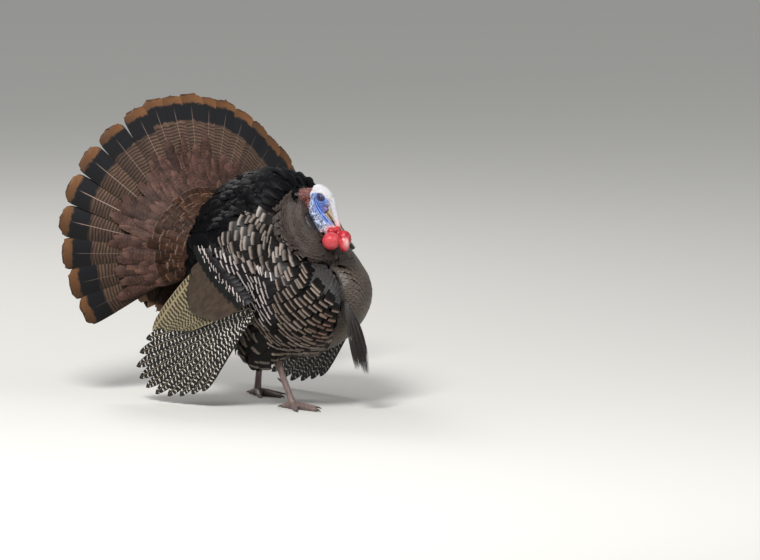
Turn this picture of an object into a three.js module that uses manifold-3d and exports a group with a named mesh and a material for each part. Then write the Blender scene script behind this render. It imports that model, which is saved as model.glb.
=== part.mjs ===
// A life-size male wild turkey in full display: trunk, ruff, head with its snood and caruncles,
// fanned tail, drooped wings, beard, and two striding legs with their flats on the floor.
// Millimetres, +Z up. The bird faces -Y, so +X is its left side, and the origin is the middle of
// its footprint on the floor. The outline runs out to the tips of the feathers.
import * as THREE from 'three';
import Module from 'manifold-3d';
import { mergeVertices } from 'three/addons/utils/BufferGeometryUtils.js';

const wasm = await Module();
wasm.setup();

const gap = 0.3; // clearance between neighbours
const far = 2000; // beyond the whole bird

// Trunk: a feathered ball, its radii measured from its centre, parted by plane cuts
const trunkShape = {
  centre: [0, 50, 345],
  radii: { side: 178, front: 282, back: 285, top: 262, bottom: 212 },
  detail: 7,
  bumps: [
    { at: [118, -150, 275], reach: [95, 120, 120], rise: 34 }, // left breast lobe
    { at: [-118, -150, 275], reach: [95, 120, 120], rise: 34 }, // right breast lobe
    { at: [75, -130, 150], reach: [90, 110, 70], rise: 20 }, // lower edge of the left lobe
    { at: [-75, -130, 150], reach: [90, 110, 70], rise: 20 }, // lower edge of the right lobe
    { at: [0, -225, 300], reach: [26, 90, 120], rise: -20 }, // groove between the lobes
    { at: [0, -215, 520], reach: [210, 116, 120], rise: -156 }, // hollow above the crop
    { at: [0, 60, 600], reach: [120, 150, 80], rise: 8 }, // raised mantle
    { at: [0, 330, 180], reach: [120, 90, 90], rise: -22 }, // tuck behind the belly
  ],
};
const rumpStart = 205;
const backFloor = 405;
const breastEnd = 5;

// Neck: its path from inside the chest up to the skull, with the half width and depth along it
const neckShape = {
  path: [[0, -100, 330], [0, -116, 392], [-3, -97, 450], [-8, -70, 512], [-6, -72, 562]],
  halfWidths: [60, 68, 73, 66, 34],
  halfDepths: [56, 66, 72, 62, 32],
  steps: 7,
  sides: 14,
};
const ruffEdge = -42; // the ruff ends below this height in the head frame

// Head frame: its place is the point between the eyes, turned and dipped towards the breast.
// Its measures are f forward along the bill, c up through the crown and r to the bird's right.
const headPlace = [0, -125, 558];
const headTurn = 25;
const headDip = 57;
const skullShape = {
  centre: [-7, 0, -2],
  radii: [38, 22, 29],
  detail: 2,
  bumps: [
    { at: [-1, 16, 10], reach: [14, 10, 9], rise: 2.5 }, // left brow
    { at: [-1, -16, 10], reach: [14, 10, 9], rise: 2.5 }, // right brow
    { at: [15, 0, 16], reach: [18, 14, 16], rise: 6 }, // forehead
  ],
};
const faceShape = {
  spots: [[-10, -9], [14, -10], [30, -10], [40, -10]],
  halfWidths: [18, 17, 12, 9],
  halfDepths: [19, 18, 14, 10],
  steps: 4,
  sides: 10,
};
const throatShape = {
  spots: [[-12, -40], [22, -40], [62, -40], [100, -40]],
  halfWidths: [24, 26, 25, 20],
  halfDepths: [14, 16, 16, 13],
  steps: 3,
  sides: 8,
};
const snoodShape = {
  spots: [[12, 22], [27, 19], [53, 13], [78, 7], [99, -1]],
  halfWidths: [5, 8.5, 7.5, 6.5, 3],
  halfDepths: [4, 8.5, 7.5, 7.5, 3],
  steps: 8,
  sides: 8,
};
const eyeShape = { spread: 13.8, radius: 8.5, detail: 1 };
const billShapes = {
  upper: { root: [26, -6], length: 45, droop: 4, halfWidth: 9.5, halfDepth: 7.5 },
  lower: { root: [26, -16.6], length: 40, droop: -3, halfWidth: 8.5, halfDepth: 4.2 },
};
const caruncleShapes = {
  middle: { centre: [2, -208, 441], radii: [12, 13, 21], detail: 2 },
  right: { centre: [-29, -184, 449], radii: [23.5, 22, 23.5], detail: 2 },
  left: { centre: [28, -186, 450], radii: [21.5, 21, 23.5], detail: 2 },
};

// Tail fan: eighteen feathers on a shallow cone, spread wider on the bird's right
const fanRoot = [0, 318, 370];
const fanYaw = -15;
const fanLean = 3.3;
const fanRoll = 9.7;
const fanCone = 16.7;
const fanFeathers = 18;
const fanMiddle = 7; // the upright feather, counted from the bird's right
const fanMiddleAngle = 29.2;
const fanNearStep = 13.55;
const fanFarStep = 8.12;
const fanShortening = 0.084; // share lost by a feather at 90 degrees
const fanPleat = 1.5;
const rectrices = { start: 60, length: 432, scallop: 0.035, beyond: 0, stepsEach: 3, stepsOut: 2 };
const upperCoverts = {
  start: 40, length: 250, scallop: 0.03, beyond: 0, stepsEach: 1, stepsOut: 3, mound: 80,
};
// The lower coverts reach round under the tail, two feathers past the fan on each side
const lowerCoverts = {
  start: 40, length: 215, scallop: 0.05, beyond: 2, stepsEach: 1, stepsOut: 2, mound: 40,
};
const moundFall = 1.2; // how fast the coverts thin towards their tips
const covertClearance = 3.6;

// Wings: the right one, mirrored for the left
const featherThickness = 3;
const elbow = [-196, 118, 428];
const wrist = [-212, -72, 280];
const innerSecondaryTip = [-222, 300, 188];
const outerSecondaryTip = [-236, 168, 205];
const secondaryRows = { count: 14, scallop: 0.03, stepsEach: 2, stepsOut: 2, bow: 8, lineShare: 0.94 };
const covertRows = {
  count: 14, scallop: 0.06, stepsEach: 1, stepsOut: 1, bow: 0, share: 0.4, outerExtra: 0.18,
  rootOut: 6, tipOut: 14,
};
const primaryRows = { count: 10, scallop: 0.05, stepsEach: 2, stepsOut: 2, bow: 6, start: 0.1 };
const primaryTopAngle = 15;
const primaryBottomAngle = 55;
const primaryLengths = [385, 455, 442, 365, 288];
const primaryFlare = 0.075;
const primaryInset = 14;
const armShape = { centre: [-150, 45, 398], radii: [58, 114, 118], detail: 3 };
const shoulderFloor = 462;

// Legs: thigh, heel joint and foot of each side; the right one has stepped forward
const legs = {
  right: { sign: -1, thigh: [-86, 8, 194], heel: [-72, -8, 158], foot: [-70, -82, 12] },
  left: { sign: 1, thigh: [86, 128, 198], heel: [66, 172, 162], foot: [62, 184, 12] },
};
const thighShape = { radii: [58, 84, 84], detail: 2 };
const shankShape = {
  places: [0, 0.3, 0.75, 1],
  halfWidths: [11, 8, 8, 10],
  halfDepths: [13, 10, 9, 11],
  steps: 4,
  sides: 8,
};
const footPad = { height: 9, radii: [14, 15, 12], detail: 1 };
const toes = [
  { name: 'inner', length: 60, angle: -38 },
  { name: 'middle', length: 88, angle: 0 },
  { name: 'outer', length: 62, angle: 36 },
  { name: 'hind', length: 34, angle: 172 },
];
const toeShape = {
  places: [0, 0.35, 0.7, 1],
  heights: [8, 9, 6, 4],
  halfWidths: [9, 8, 7, 4],
  halfDepths: [10, 9, 7, 5],
  steps: 3,
  sides: 6,
};
const clawShape = {
  distances: [-5, 8.5, 17],
  heights: [5, 5, 1.6],
  halfWidths: [3.4, 3, 0.6],
  halfDepths: [3.6, 3, 0.6],
  steps: 2,
  sides: 5,
};
const spurShape = {
  height: 62,
  outwards: [0, 3, 4],
  backwards: [4, 18.4, 32],
  upwards: [0, 1, 7],
  halfWidths: [6, 4, 0.7],
  steps: 3,
  sides: 6,
};

// Beard: a tassel of coarse bristles from the middle of the breast, in two strands
const beardShape = {
  root: [0, -205, 290],
  tips: [[-4, -258, 118], [17, -268, 104]],
  places: [0, 0.35, 0.7, 1],
  forwards: [0, 12, 8, 0],
  halfWidths: [7, 11, 9, 3],
  flatness: 0.7,
  steps: 5,
  sides: 6,
};

const colours = {
  mantle: '#15130f', breast: '#3b342c', belly: '#1f1b17', rump: '#6b4630', ruff: '#5d534b',
  skin: '#9fb4dc', crown: '#e9e6e4', caruncle: '#c9303a', bill: '#b9a283', eye: '#1d120d',
  fan: '#4a342a', covert: '#7b5443', wing: '#4f463b', secondary: '#a39472', primary: '#57524c',
  leg: '#8d7670', claw: '#3a302a', beard: '#1b1817',
};

const radians = THREE.MathUtils.degToRad;
const vec = (list) => new THREE.Vector3(...list);
const mix = (a, b, t) => vec(a).lerp(vec(b), t);

// A closed geometry with its faces pointing outwards, from points and triangles
function closedShape(points, triangles) {
  let volume = 0;
  for (const [a, b, c] of triangles) {
    volume += points[a].dot(points[b].clone().cross(points[c]));
  }
  const index = triangles.flatMap(([a, b, c]) => (volume < 0 ? [a, c, b] : [a, b, c]));
  const flat = points.flatMap((p) => [p.x, p.y, p.z]);
  const geometry = new THREE.BufferGeometry();
  geometry.setAttribute('position', new THREE.Float32BufferAttribute(flat, 3));
  geometry.setIndex(index);
  return geometry;
}

// The triangles of the bands between rings of points, all with the same count
function bands(ringCount, count) {
  const triangles = [];
  for (let i = 0; i + 1 < ringCount; i++) {
    for (let j = 0; j < count; j++) {
      const a = i * count + j;
      const b = i * count + ((j + 1) % count);
      triangles.push([a, b, a + count], [b, b + count, a + count]);
    }
  }
  return triangles;
}

// A value along a list of evenly spaced ones, smoothly joined
function along(values, t) {
  const curve = new THREE.CatmullRomCurve3(values.map((v, i) => new THREE.Vector3(i, v, 0)));
  return curve.getPoint(t).y;
}

// A tube of oval rings along a smooth path; side is the direction of the ring's width
function tube(path, { halfWidths, halfDepths, steps, sides }, side = [1, 0, 0]) {
  const curve = new THREE.CatmullRomCurve3(path.map(vec));
  const points = [];
  for (let i = 0; i <= steps; i++) {
    const t = i / steps;
    const tangent = curve.getTangent(t);
    const across = vec(side).addScaledVector(tangent, -vec(side).dot(tangent)).normalize();
    const up = tangent.clone().cross(across);
    const width = Math.max(along(halfWidths, t), gap);
    const depth = Math.max(along(halfDepths, t), gap);
    for (let j = 0; j < sides; j++) {
      const turn = (j / sides) * Math.PI * 2;
      const point = curve.getPoint(t).addScaledVector(across, Math.cos(turn) * width);
      points.push(point.addScaledVector(up, Math.sin(turn) * depth));
    }
  }
  const triangles = bands(steps + 1, sides);
  // Each end closes on the middle of its ring
  for (const end of [0, steps]) {
    const ring = points.slice(end * sides, (end + 1) * sides);
    const sum = ring.reduce((total, p) => total.add(p), new THREE.Vector3());
    const middle = points.push(sum.divideScalar(sides)) - 1;
    for (let j = 0; j < sides; j++) {
      const a = end * sides + j;
      const b = end * sides + ((j + 1) % sides);
      triangles.push(end === 0 ? [a, middle, b] : [a, b, middle]);
    }
  }
  return closedShape(points, triangles);
}

// A thin closed slab between two surfaces given by functions of u and v, each from 0 to 1
function slab(stepsU, stepsV, front, back) {
  const points = [];
  for (let i = 0; i <= stepsU; i++) {
    for (let j = 0; j <= stepsV; j++) {
      points.push(front(i / stepsU, j / stepsV));
    }
    for (let j = stepsV; j >= 0; j--) {
      points.push(back(i / stepsU, j / stepsV));
    }
  }
  const count = 2 * (stepsV + 1);
  const triangles = bands(stepsU + 1, count);
  // Each end is closed by a strip from the front edge to the back one
  for (let j = 0; j < stepsV; j++) {
    const first = [j, j + 1, count - 2 - j, count - 1 - j];
    const [a, b, c, d] = first;
    const [e, f, g, h] = first.map((corner) => corner + stepsU * count);
    triangles.push([a, d, b], [b, d, c], [e, f, h], [f, g, h]);
  }
  return closedShape(points, triangles);
}

// A ball stretched to its own radius each way, with soft rises and hollows on it
function ball({ centre, radii, detail, bumps = [] }) {
  const geometry = rounded(new THREE.IcosahedronGeometry(1, detail));
  const positions = geometry.getAttribute('position');
  const r = Array.isArray(radii)
    ? { side: radii[0], front: radii[1], back: radii[1], top: radii[2], bottom: radii[2] }
    : radii;
  for (let i = 0; i < positions.count; i++) {
    const unit = new THREE.Vector3().fromBufferAttribute(positions, i);
    const ry = unit.y < 0 ? r.front : r.back;
    const rz = unit.z < 0 ? r.bottom : r.top;
    const point = new THREE.Vector3(unit.x * r.side, unit.y * ry, unit.z * rz).add(vec(centre));
    const normal = new THREE.Vector3(unit.x / r.side, unit.y / ry, unit.z / rz).normalize();
    let rise = 0;
    for (const bump of bumps) {
      const away = point.clone().sub(vec(bump.at)).divide(vec(bump.reach));
      rise += bump.rise * Math.exp(-away.lengthSq());
    }
    point.addScaledVector(normal, rise);
    positions.setXYZ(i, point.x, point.y, point.z);
  }
  return geometry;
}

// The bare positions of a geometry, with the vertices that coincide merged
function rounded(geometry) {
  geometry.deleteAttribute('normal');
  geometry.deleteAttribute('uv');
  return mergeVertices(geometry);
}

// The same shape pushed out along its normals, used to leave the gap to a neighbour
function grown(geometry, distance) {
  const copy = rounded(geometry.clone());
  copy.computeVertexNormals();
  const positions = copy.getAttribute('position');
  const normals = copy.getAttribute('normal');
  for (let i = 0; i < positions.count; i++) {
    const point = new THREE.Vector3().fromBufferAttribute(positions, i);
    point.addScaledVector(new THREE.Vector3().fromBufferAttribute(normals, i), distance);
    positions.setXYZ(i, point.x, point.y, point.z);
  }
  copy.deleteAttribute('normal');
  return copy;
}

function solidOf(geometry) {
  const merged = rounded(geometry.clone());
  return new wasm.Manifold(
    new wasm.Mesh({
      numProp: 3,
      vertProperties: new Float32Array(merged.getAttribute('position').array),
      triVerts: new Uint32Array(merged.index.array),
    }),
  );
}

// The largest single body of a solid, back as a geometry
function geometryOf(solid) {
  const bodies = solid.decompose();
  bodies.sort((a, b) => b.volume() - a.volume());
  const mesh = bodies[0].getMesh();
  const geometry = new THREE.BufferGeometry();
  geometry.setAttribute('position', new THREE.Float32BufferAttribute(mesh.vertProperties, 3));
  geometry.setIndex(new THREE.Uint32BufferAttribute(mesh.triVerts, 1));
  return geometry;
}

// Cuts a geometry back from its neighbours, leaving the gap
function cut(geometry, ...neighbours) {
  const tools = neighbours.map((neighbour) => solidOf(grown(neighbour, gap)));
  return geometryOf(tools.reduce((body, tool) => body.subtract(tool), solidOf(geometry)));
}
const join = (...shapes) => geometryOf(shapes.map(solidOf).reduce((a, b) => a.add(b)));
const within = (geometry, box) => geometryOf(solidOf(geometry).intersect(solidOf(box)));

// A box between two corners
function boxBetween(low, high) {
  const size = vec(high).sub(vec(low));
  const middle = mix(low, high, 0.5);
  return new THREE.BoxGeometry(size.x, size.y, size.z).translate(middle.x, middle.y, middle.z);
}

const group = new THREE.Group();

function addPart(name, geometry, colour, roughness = 0.6) {
  const material = new THREE.MeshStandardMaterial({ color: colour, roughness, metalness: 0 });
  const mesh = new THREE.Mesh(geometry, material);
  mesh.name = name;
  group.add(mesh);
}

// Trunk
const trunk = ball(trunkShape);
const trunkParts = [
  ['trunk_rump', [-far, rumpStart, -far], [far, far, far], colours.rump],
  ['trunk_back', [-far, -far, backFloor], [far, rumpStart - gap, far], colours.mantle],
  ['trunk_breast_right', [-far, -far, -far], [-gap / 2, breastEnd, backFloor - gap], colours.breast],
  ['trunk_breast_left', [gap / 2, -far, -far], [far, breastEnd, backFloor - gap], colours.breast],
  ['trunk_belly', [-far, breastEnd + gap, -far], [far, rumpStart - gap, backFloor - gap], colours.belly],
];

// Head
const heading = new THREE.Vector3(Math.sin(radians(headTurn)), -Math.cos(radians(headTurn)), 0);
const forward = heading.clone().multiplyScalar(Math.cos(radians(headDip)));
forward.z = -Math.sin(radians(headDip));
const crown = heading.clone().multiplyScalar(Math.sin(radians(headDip)));
crown.z = Math.cos(radians(headDip));
const right = forward.clone().cross(crown);

// Carries a shape with its length on X, its left on Y and its height on Z into the head frame
const headFrame = new THREE.Matrix4()
  .makeBasis(forward, right.clone().negate(), crown)
  .setPosition(vec(headPlace));
const headSpot = ([f, c], r = 0) => new THREE.Vector3(f, -r, c).applyMatrix4(headFrame).toArray();
const headTube = (shape) => tube(shape.spots.map((s) => headSpot(s)), shape, right.toArray());

const head = join(ball(skullShape).applyMatrix4(headFrame), headTube(faceShape));

function bill({ root, length, droop, halfWidth, halfDepth }) {
  const places = [0, 0.5, 0.85, 1];
  const drops = [0, -0.2, 0.15, 1];
  const path = places.map((place, i) => headSpot([root[0] + place * length, root[1] - drops[i] * droop]));
  const halfWidths = [halfWidth, halfWidth * 0.78, halfWidth * 0.42, 1];
  const halfDepths = [halfDepth, halfDepth * 0.8, halfDepth * 0.5, 1];
  return tube(path, { halfWidths, halfDepths, steps: 5, sides: 8 }, right.toArray());
}
const upperBill = bill(billShapes.upper);
const lowerBill = cut(bill(billShapes.lower), upperBill);

const eyeAt = (spread) => ball({
  centre: headSpot([0, 0], spread),
  radii: [eyeShape.radius, eyeShape.radius, eyeShape.radius],
  detail: eyeShape.detail,
});
const eyes = { right: eyeAt(eyeShape.spread), left: eyeAt(-eyeShape.spread) };
const snood = headTube(snoodShape);
const caruncles = {
  middle: ball(caruncleShapes.middle),
  right: ball(caruncleShapes.right),
  left: ball(caruncleShapes.left),
};

// Neck: the feathered ruff, open in front along a plane of the head frame, and the bare throat in it
const neck = tube(neckShape.path, neckShape);
const throat = headTube(throatShape);
const behindThroat = boxBetween([-far, -far, -far], [far, far, ruffEdge]).applyMatrix4(headFrame);

// Tail
const fanTurn = new THREE.Quaternion()
  .setFromAxisAngle(vec([0, 0, 1]), radians(fanYaw))
  .multiply(new THREE.Quaternion().setFromAxisAngle(vec([1, 0, 0]), -radians(fanLean)))
  .multiply(new THREE.Quaternion().setFromAxisAngle(vec([0, 1, 0]), radians(fanRoll)));
const fanRight = vec([-1, 0, 0]).applyQuaternion(fanTurn);
const fanUp = vec([0, 0, 1]).applyQuaternion(fanTurn);
const fanBack = vec([0, 1, 0]).applyQuaternion(fanTurn);

// The angle of a place in the fan, counted in feathers from the bird's right
const fanAngle = (feather) =>
  fanMiddleAngle
  + fanNearStep * Math.max(0, fanMiddle - feather)
  - fanFarStep * Math.max(0, feather - fanMiddle);

// A point on the fan's cone, offset behind it
function fanPoint(feather, radius, behind) {
  const angle = radians(fanAngle(feather));
  const cone = radians(fanCone);
  const out = fanUp.clone().multiplyScalar(Math.cos(angle)).addScaledVector(fanRight, Math.sin(angle));
  return vec(fanRoot)
    .addScaledVector(out, radius * Math.cos(cone) - behind * Math.sin(cone))
    .addScaledVector(fanBack, radius * Math.sin(cone) + behind * Math.cos(cone));
}

// Each feather's tip is a rounded square, and the outer feathers are a little shorter
function fanReach(feather, length, scallop) {
  const offCentre = 2 * Math.abs(feather - Math.round(feather));
  const share = fanAngle(feather) / 90;
  return length * (1 - fanShortening * share * share) * (1 - scallop * offCentre ** 4);
}

// A layer of the fan between two depths, which are functions of the place from root to tip
function fanLayer({ start, length, scallop, beyond, stepsEach, stepsOut }, nearDepth, farDepth) {
  const count = fanFeathers + 2 * beyond;
  const surface = (depth) => (u, v) => {
    const feather = u * count - 0.5 - beyond;
    const radius = start + (fanReach(feather, length, scallop) - start) * v;
    const pleat = fanPleat * Math.cos(2 * Math.PI * feather);
    return fanPoint(feather, radius, depth(v) - pleat * v);
  };
  return slab(count * stepsEach, stepsOut, surface(nearDepth), surface(farDepth));
}
const half = featherThickness / 2;
const cover = half + covertClearance;
const moundDepth = (layer) => (v) => cover + featherThickness + layer.mound * (1 - v) ** moundFall;
const fan = fanLayer(rectrices, () => -half, () => half);
const fanFront = fanLayer(upperCoverts, (v) => -moundDepth(upperCoverts)(v), () => -cover);
const fanRear = fanLayer(lowerCoverts, () => cover, moundDepth(lowerCoverts));

// Wings
function featherWave(place, count, scallop) {
  const inFeather = place * count - Math.floor(Math.min(place * count, count - 0.001));
  return 1 - scallop * Math.abs(2 * inFeather - 1) ** 3;
}

// A row of flight feathers as one slab, from a line of roots to a line of tips
function flightRow({ count, scallop, stepsEach, stepsOut, bow }, root, tip) {
  const surface = (offset) => (u, v) => {
    const reach = v * featherWave(u, count, scallop);
    const point = root(u).lerp(tip(u), reach);
    // The blade bows outwards between root and tip
    point.x -= bow * Math.sin(Math.PI * reach) + offset;
    return point;
  };
  return slab(count * stepsEach, stepsOut, surface(half), surface(-half));
}

const mirrorX = (geometry) => {
  const positions = geometry.getAttribute('position');
  const points = [];
  for (let i = 0; i < positions.count; i++) {
    points.push(new THREE.Vector3(-positions.getX(i), positions.getY(i), positions.getZ(i)));
  }
  const triangles = [];
  for (let i = 0; i < geometry.index.count; i += 3) {
    triangles.push([...geometry.index.array.slice(i, i + 3)]);
  }
  return closedShape(points, triangles);
};

// The feathered pad over the arm ends along the line from elbow to wrist
function armPad() {
  const across = vec([1, 0, 0]);
  const line = vec(elbow).sub(vec(wrist)).setX(0).normalize();
  const above = across.clone().cross(line);
  const frame = new THREE.Matrix4().makeBasis(across, line, above).setPosition(vec(elbow));
  return within(ball(armShape), boxBetween([-far, -far, gap], [far, far, far]).applyMatrix4(frame));
}

function wingParts() {
  const armLine = (u) => mix(elbow, wrist, u * secondaryRows.lineShare);
  const secondaryTip = (u) => mix(innerSecondaryTip, outerSecondaryTip, u);
  const covertTip = (u) => armLine(u)
    .lerp(secondaryTip(u), covertRows.share + covertRows.outerExtra * u)
    .add(vec([-covertRows.tipOut, 0, 0]));
  const primaryTip = (u) => {
    const angle = radians(primaryTopAngle + (primaryBottomAngle - primaryTopAngle) * u);
    const out = vec([-primaryFlare, Math.cos(angle), -Math.sin(angle)]).normalize();
    return vec(wrist).addScaledVector(out, along(primaryLengths, u)).add(vec([primaryInset, 0, 0]));
  };
  const primaryBase = (u) => vec(wrist)
    .add(vec([primaryInset, 0, 0]))
    .lerp(primaryTip(u), primaryRows.start);
  return {
    arm: armPad(),
    secondaries: flightRow(secondaryRows, armLine, secondaryTip),
    coverts: flightRow(covertRows, (u) => armLine(u).add(vec([-covertRows.rootOut, 0, 0])), covertTip),
    primaries: flightRow(primaryRows, primaryBase, primaryTip),
  };
}

// Legs
function footParts({ sign, foot }) {
  const ground = [foot[0], foot[1], 0];
  const pad = ball({ ...footPad, centre: [foot[0], foot[1], footPad.height] });
  const toeTubes = [];
  const claws = {};
  for (const { name, length, angle } of toes) {
    const turn = radians(-angle * sign);
    const out = new THREE.Vector3(-Math.sin(turn), -Math.cos(turn), 0);
    const side = new THREE.Vector3(-out.y, out.x, 0).toArray();
    const spot = (distance, height) => vec(ground).addScaledVector(out, distance).setZ(height).toArray();
    const path = toeShape.places.map((place, i) => spot(place * length, toeShape.heights[i]));
    const clawPath = clawShape.distances.map((d, i) => spot(length + d, clawShape.heights[i]));
    toeTubes.push(tube(path, toeShape, side));
    claws[name] = tube(clawPath, clawShape, side);
  }
  const aboveFloor = boxBetween([-far, -far, 0], [far, far, far]);
  return { foot: within(join(pad, ...toeTubes), aboveFloor), claws };
}

function legParts(leg) {
  const shankPath = shankShape.places.map((place) => mix(leg.heel, leg.foot, place).toArray());
  const spurRoot = mix(leg.foot, leg.heel, spurShape.height / leg.heel[2]);
  const spurPath = spurShape.outwards.map((outwards, i) =>
    spurRoot.clone()
      .add(vec([-leg.sign * outwards, spurShape.backwards[i], spurShape.upwards[i]]))
      .toArray());
  return {
    thigh: ball({ ...thighShape, centre: leg.thigh }),
    shank: tube(shankPath, shankShape),
    spur: tube(spurPath, { ...spurShape, halfDepths: spurShape.halfWidths }),
    ...footParts(leg),
  };
}

// Beard
const strands = beardShape.tips.map((tip) => {
  const path = beardShape.places.map((place, i) =>
    mix(beardShape.root, tip, place).add(vec([0, -beardShape.forwards[i], 0])).toArray());
  const halfDepths = beardShape.halfWidths.map((width) => width * beardShape.flatness);
  return tube(path, { ...beardShape, halfDepths });
});

// Assembly: each piece is cut back from the neighbours that it meets
for (const [name, low, high, colour] of trunkParts) {
  addPart(name, within(trunk, boxBetween(low, high)), colour, 0.5);
}
const ruff = cut(within(neck, behindThroat), trunk, head, ...Object.values(caruncles));
addPart('neck_ruff', ruff, colours.ruff, 0.8);
addPart('neck_throat', cut(throat, ruff, trunk, head, ...Object.values(caruncles)), colours.skin);
addPart('head', cut(head, eyes.right, eyes.left), colours.crown);
addPart('eye_right', eyes.right, colours.eye, 0.1);
addPart('eye_left', eyes.left, colours.eye, 0.1);
addPart('bill_upper', cut(upperBill, head, snood), colours.bill, 0.4);
addPart('bill_lower', cut(lowerBill, head), colours.bill, 0.4);
addPart('snood', cut(snood, head), colours.caruncle, 0.45);
const hanging = [trunk, snood, upperBill, lowerBill];
addPart('caruncle_middle', cut(caruncles.middle, ...hanging), colours.caruncle, 0.4);
for (const side of ['right', 'left']) {
  const shape = cut(caruncles[side], caruncles.middle, ...hanging);
  addPart(`caruncle_${side}`, shape, colours.caruncle, 0.4);
}

addPart('tail_fan', cut(fan, trunk), colours.fan);
addPart('tail_coverts_upper', cut(fanFront, trunk), colours.covert);
addPart('tail_coverts_lower', cut(fanRear, trunk), colours.rump);

for (const side of ['right', 'left']) {
  const turned = (geometry) => (side === 'left' ? mirrorX(geometry) : geometry);
  const wing = wingParts();
  const arm = cut(turned(wing.arm), trunk, neck);
  const shoulder = within(arm, boxBetween([-far, -far, shoulderFloor], [far, far, far]));
  const forearm = within(arm, boxBetween([-far, -far, -far], [far, far, shoulderFloor - gap]));
  addPart(`shoulder_${side}`, shoulder, colours.wing);
  addPart(`wing_${side}_arm`, forearm, colours.wing);
  addPart(`wing_${side}_coverts`, cut(turned(wing.coverts), trunk), colours.wing, 0.4);
  addPart(`wing_${side}_secondaries`, cut(turned(wing.secondaries), trunk), colours.secondary);
  addPart(`wing_${side}_primaries`, cut(turned(wing.primaries), trunk), colours.primary);
}

for (const [side, leg] of Object.entries(legs)) {
  const parts = legParts(leg);
  addPart(`thigh_${side}`, cut(parts.thigh, trunk), colours.belly, 0.8);
  addPart(`shank_${side}`, cut(parts.shank, parts.thigh, trunk, parts.foot), colours.leg);
  addPart(`foot_${side}`, parts.foot, colours.leg);
  addPart(`spur_${side}`, cut(parts.spur, parts.shank), colours.claw, 0.4);
  for (const [toe, claw] of Object.entries(parts.claws)) {
    addPart(`claw_${side}_${toe}`, cut(claw, parts.foot), colours.claw, 0.4);
  }
}
addPart('beard', cut(join(...strands), trunk), colours.beard, 0.5);

// The origin goes to the middle of the footprint
const bounds = new THREE.Box3().setFromObject(group);
const middle = bounds.getCenter(new THREE.Vector3());
group.position.set(-middle.x, -middle.y, -bounds.min.z);
group.updateMatrixWorld(true);

export default group;
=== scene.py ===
import math

import bmesh
import bpy
import numpy as np
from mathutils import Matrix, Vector, noise as fieldNoise
from mathutils.bvhtree import BVHTree


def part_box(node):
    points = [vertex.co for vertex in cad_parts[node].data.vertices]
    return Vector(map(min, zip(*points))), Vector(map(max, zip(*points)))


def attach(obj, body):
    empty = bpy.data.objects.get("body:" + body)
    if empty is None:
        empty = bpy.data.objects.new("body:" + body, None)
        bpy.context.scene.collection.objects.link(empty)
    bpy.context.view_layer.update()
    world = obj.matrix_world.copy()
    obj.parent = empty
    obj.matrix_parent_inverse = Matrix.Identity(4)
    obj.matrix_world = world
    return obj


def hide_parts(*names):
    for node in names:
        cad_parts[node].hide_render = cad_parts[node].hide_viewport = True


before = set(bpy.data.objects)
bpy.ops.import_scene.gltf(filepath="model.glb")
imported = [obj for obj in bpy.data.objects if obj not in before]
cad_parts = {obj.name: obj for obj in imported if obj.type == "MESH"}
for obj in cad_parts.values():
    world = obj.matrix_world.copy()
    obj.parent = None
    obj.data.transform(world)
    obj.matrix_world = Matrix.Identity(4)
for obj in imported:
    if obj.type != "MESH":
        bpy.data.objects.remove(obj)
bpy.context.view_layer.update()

scene = bpy.context.scene
chance = np.random.default_rng(7)


def unit(v):
    v = np.asarray(v, float)
    return v / np.maximum(np.linalg.norm(v, axis=-1, keepdims=True), 1e-9)


def smooth(low, high, x):
    t = np.clip((np.asarray(x, float) - low) / (high - low), 0, 1)
    return t * t * (3 - 2 * t)


def mix(a, b, t):
    return np.asarray(a, float) * (1 - t) + np.asarray(b, float) * t


def ink(code):
    # an sRGB hex colour as linear light
    rgb = np.array([int(code[i:i + 2], 16) for i in (1, 3, 5)]) / 255
    return tuple(np.where(rgb <= 0.04045, rgb / 12.92, ((rgb + 0.055) / 1.055) ** 2.4).tolist())


# The bird stands on its own axes: -Y ahead, +X to its left, its floor point under the trunk.
# The point between the eyes ties them to the frame.
headPlace = np.array((0, -0.125, 0.558))


def boxMiddle(node):
    low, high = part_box(node)
    return (np.array(low) + np.array(high)) / 2


birdOrigin = (boxMiddle("eye_right") + boxMiddle("eye_left")) / 2 - headPlace

# the head's own frame: forward along the bill, up through the crown, to the bird's right
headTurn, headDip = math.radians(25), math.radians(57)
faceAhead = np.array((math.sin(headTurn), -math.cos(headTurn), 0))
headForward = faceAhead * math.cos(headDip) + np.array((0, 0, -math.sin(headDip)))
headCrown = faceAhead * math.sin(headDip) + np.array((0, 0, math.cos(headDip)))
headRight = np.cross(headForward, headCrown)
acrossAxis = np.array((1.0, 0, 0))


def toHead(points):
    away = points - headPlace
    return np.stack((away @ headForward, away @ headCrown, away @ headRight), axis=-1)


def fromHead(f, c, r):
    return headPlace + headForward * f + headCrown * c + headRight * r


def newObject(name, mesh):
    obj = bpy.data.objects.new(name, mesh)
    scene.collection.objects.link(obj)
    return obj


def meshFrom(name, points, corners, counts):
    # points in the bird's own axes, corners and counts as flat lists of loops
    mesh = bpy.data.meshes.new(name)
    mesh.vertices.add(len(points))
    mesh.vertices.foreach_set("co", (np.asarray(points) + birdOrigin).astype(np.float32).ravel())
    mesh.loops.add(len(corners))
    mesh.loops.foreach_set("vertex_index", np.asarray(corners, np.int32))
    mesh.polygons.add(len(counts))
    starts = np.concatenate(([0], np.cumsum(counts)[:-1]))
    mesh.polygons.foreach_set("loop_start", starts.astype(np.int32))
    mesh.update(calc_edges=True)
    mesh.shade_smooth()
    return mesh


def meshOf(name, points, faces):
    return meshFrom(name, points, [i for face in faces for i in face], [len(face) for face in faces])


def addUv(mesh, name, values):
    layer = mesh.uv_layers.new(name=name)
    layer.uv.foreach_set("vector", np.asarray(values, np.float32).ravel())


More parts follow.
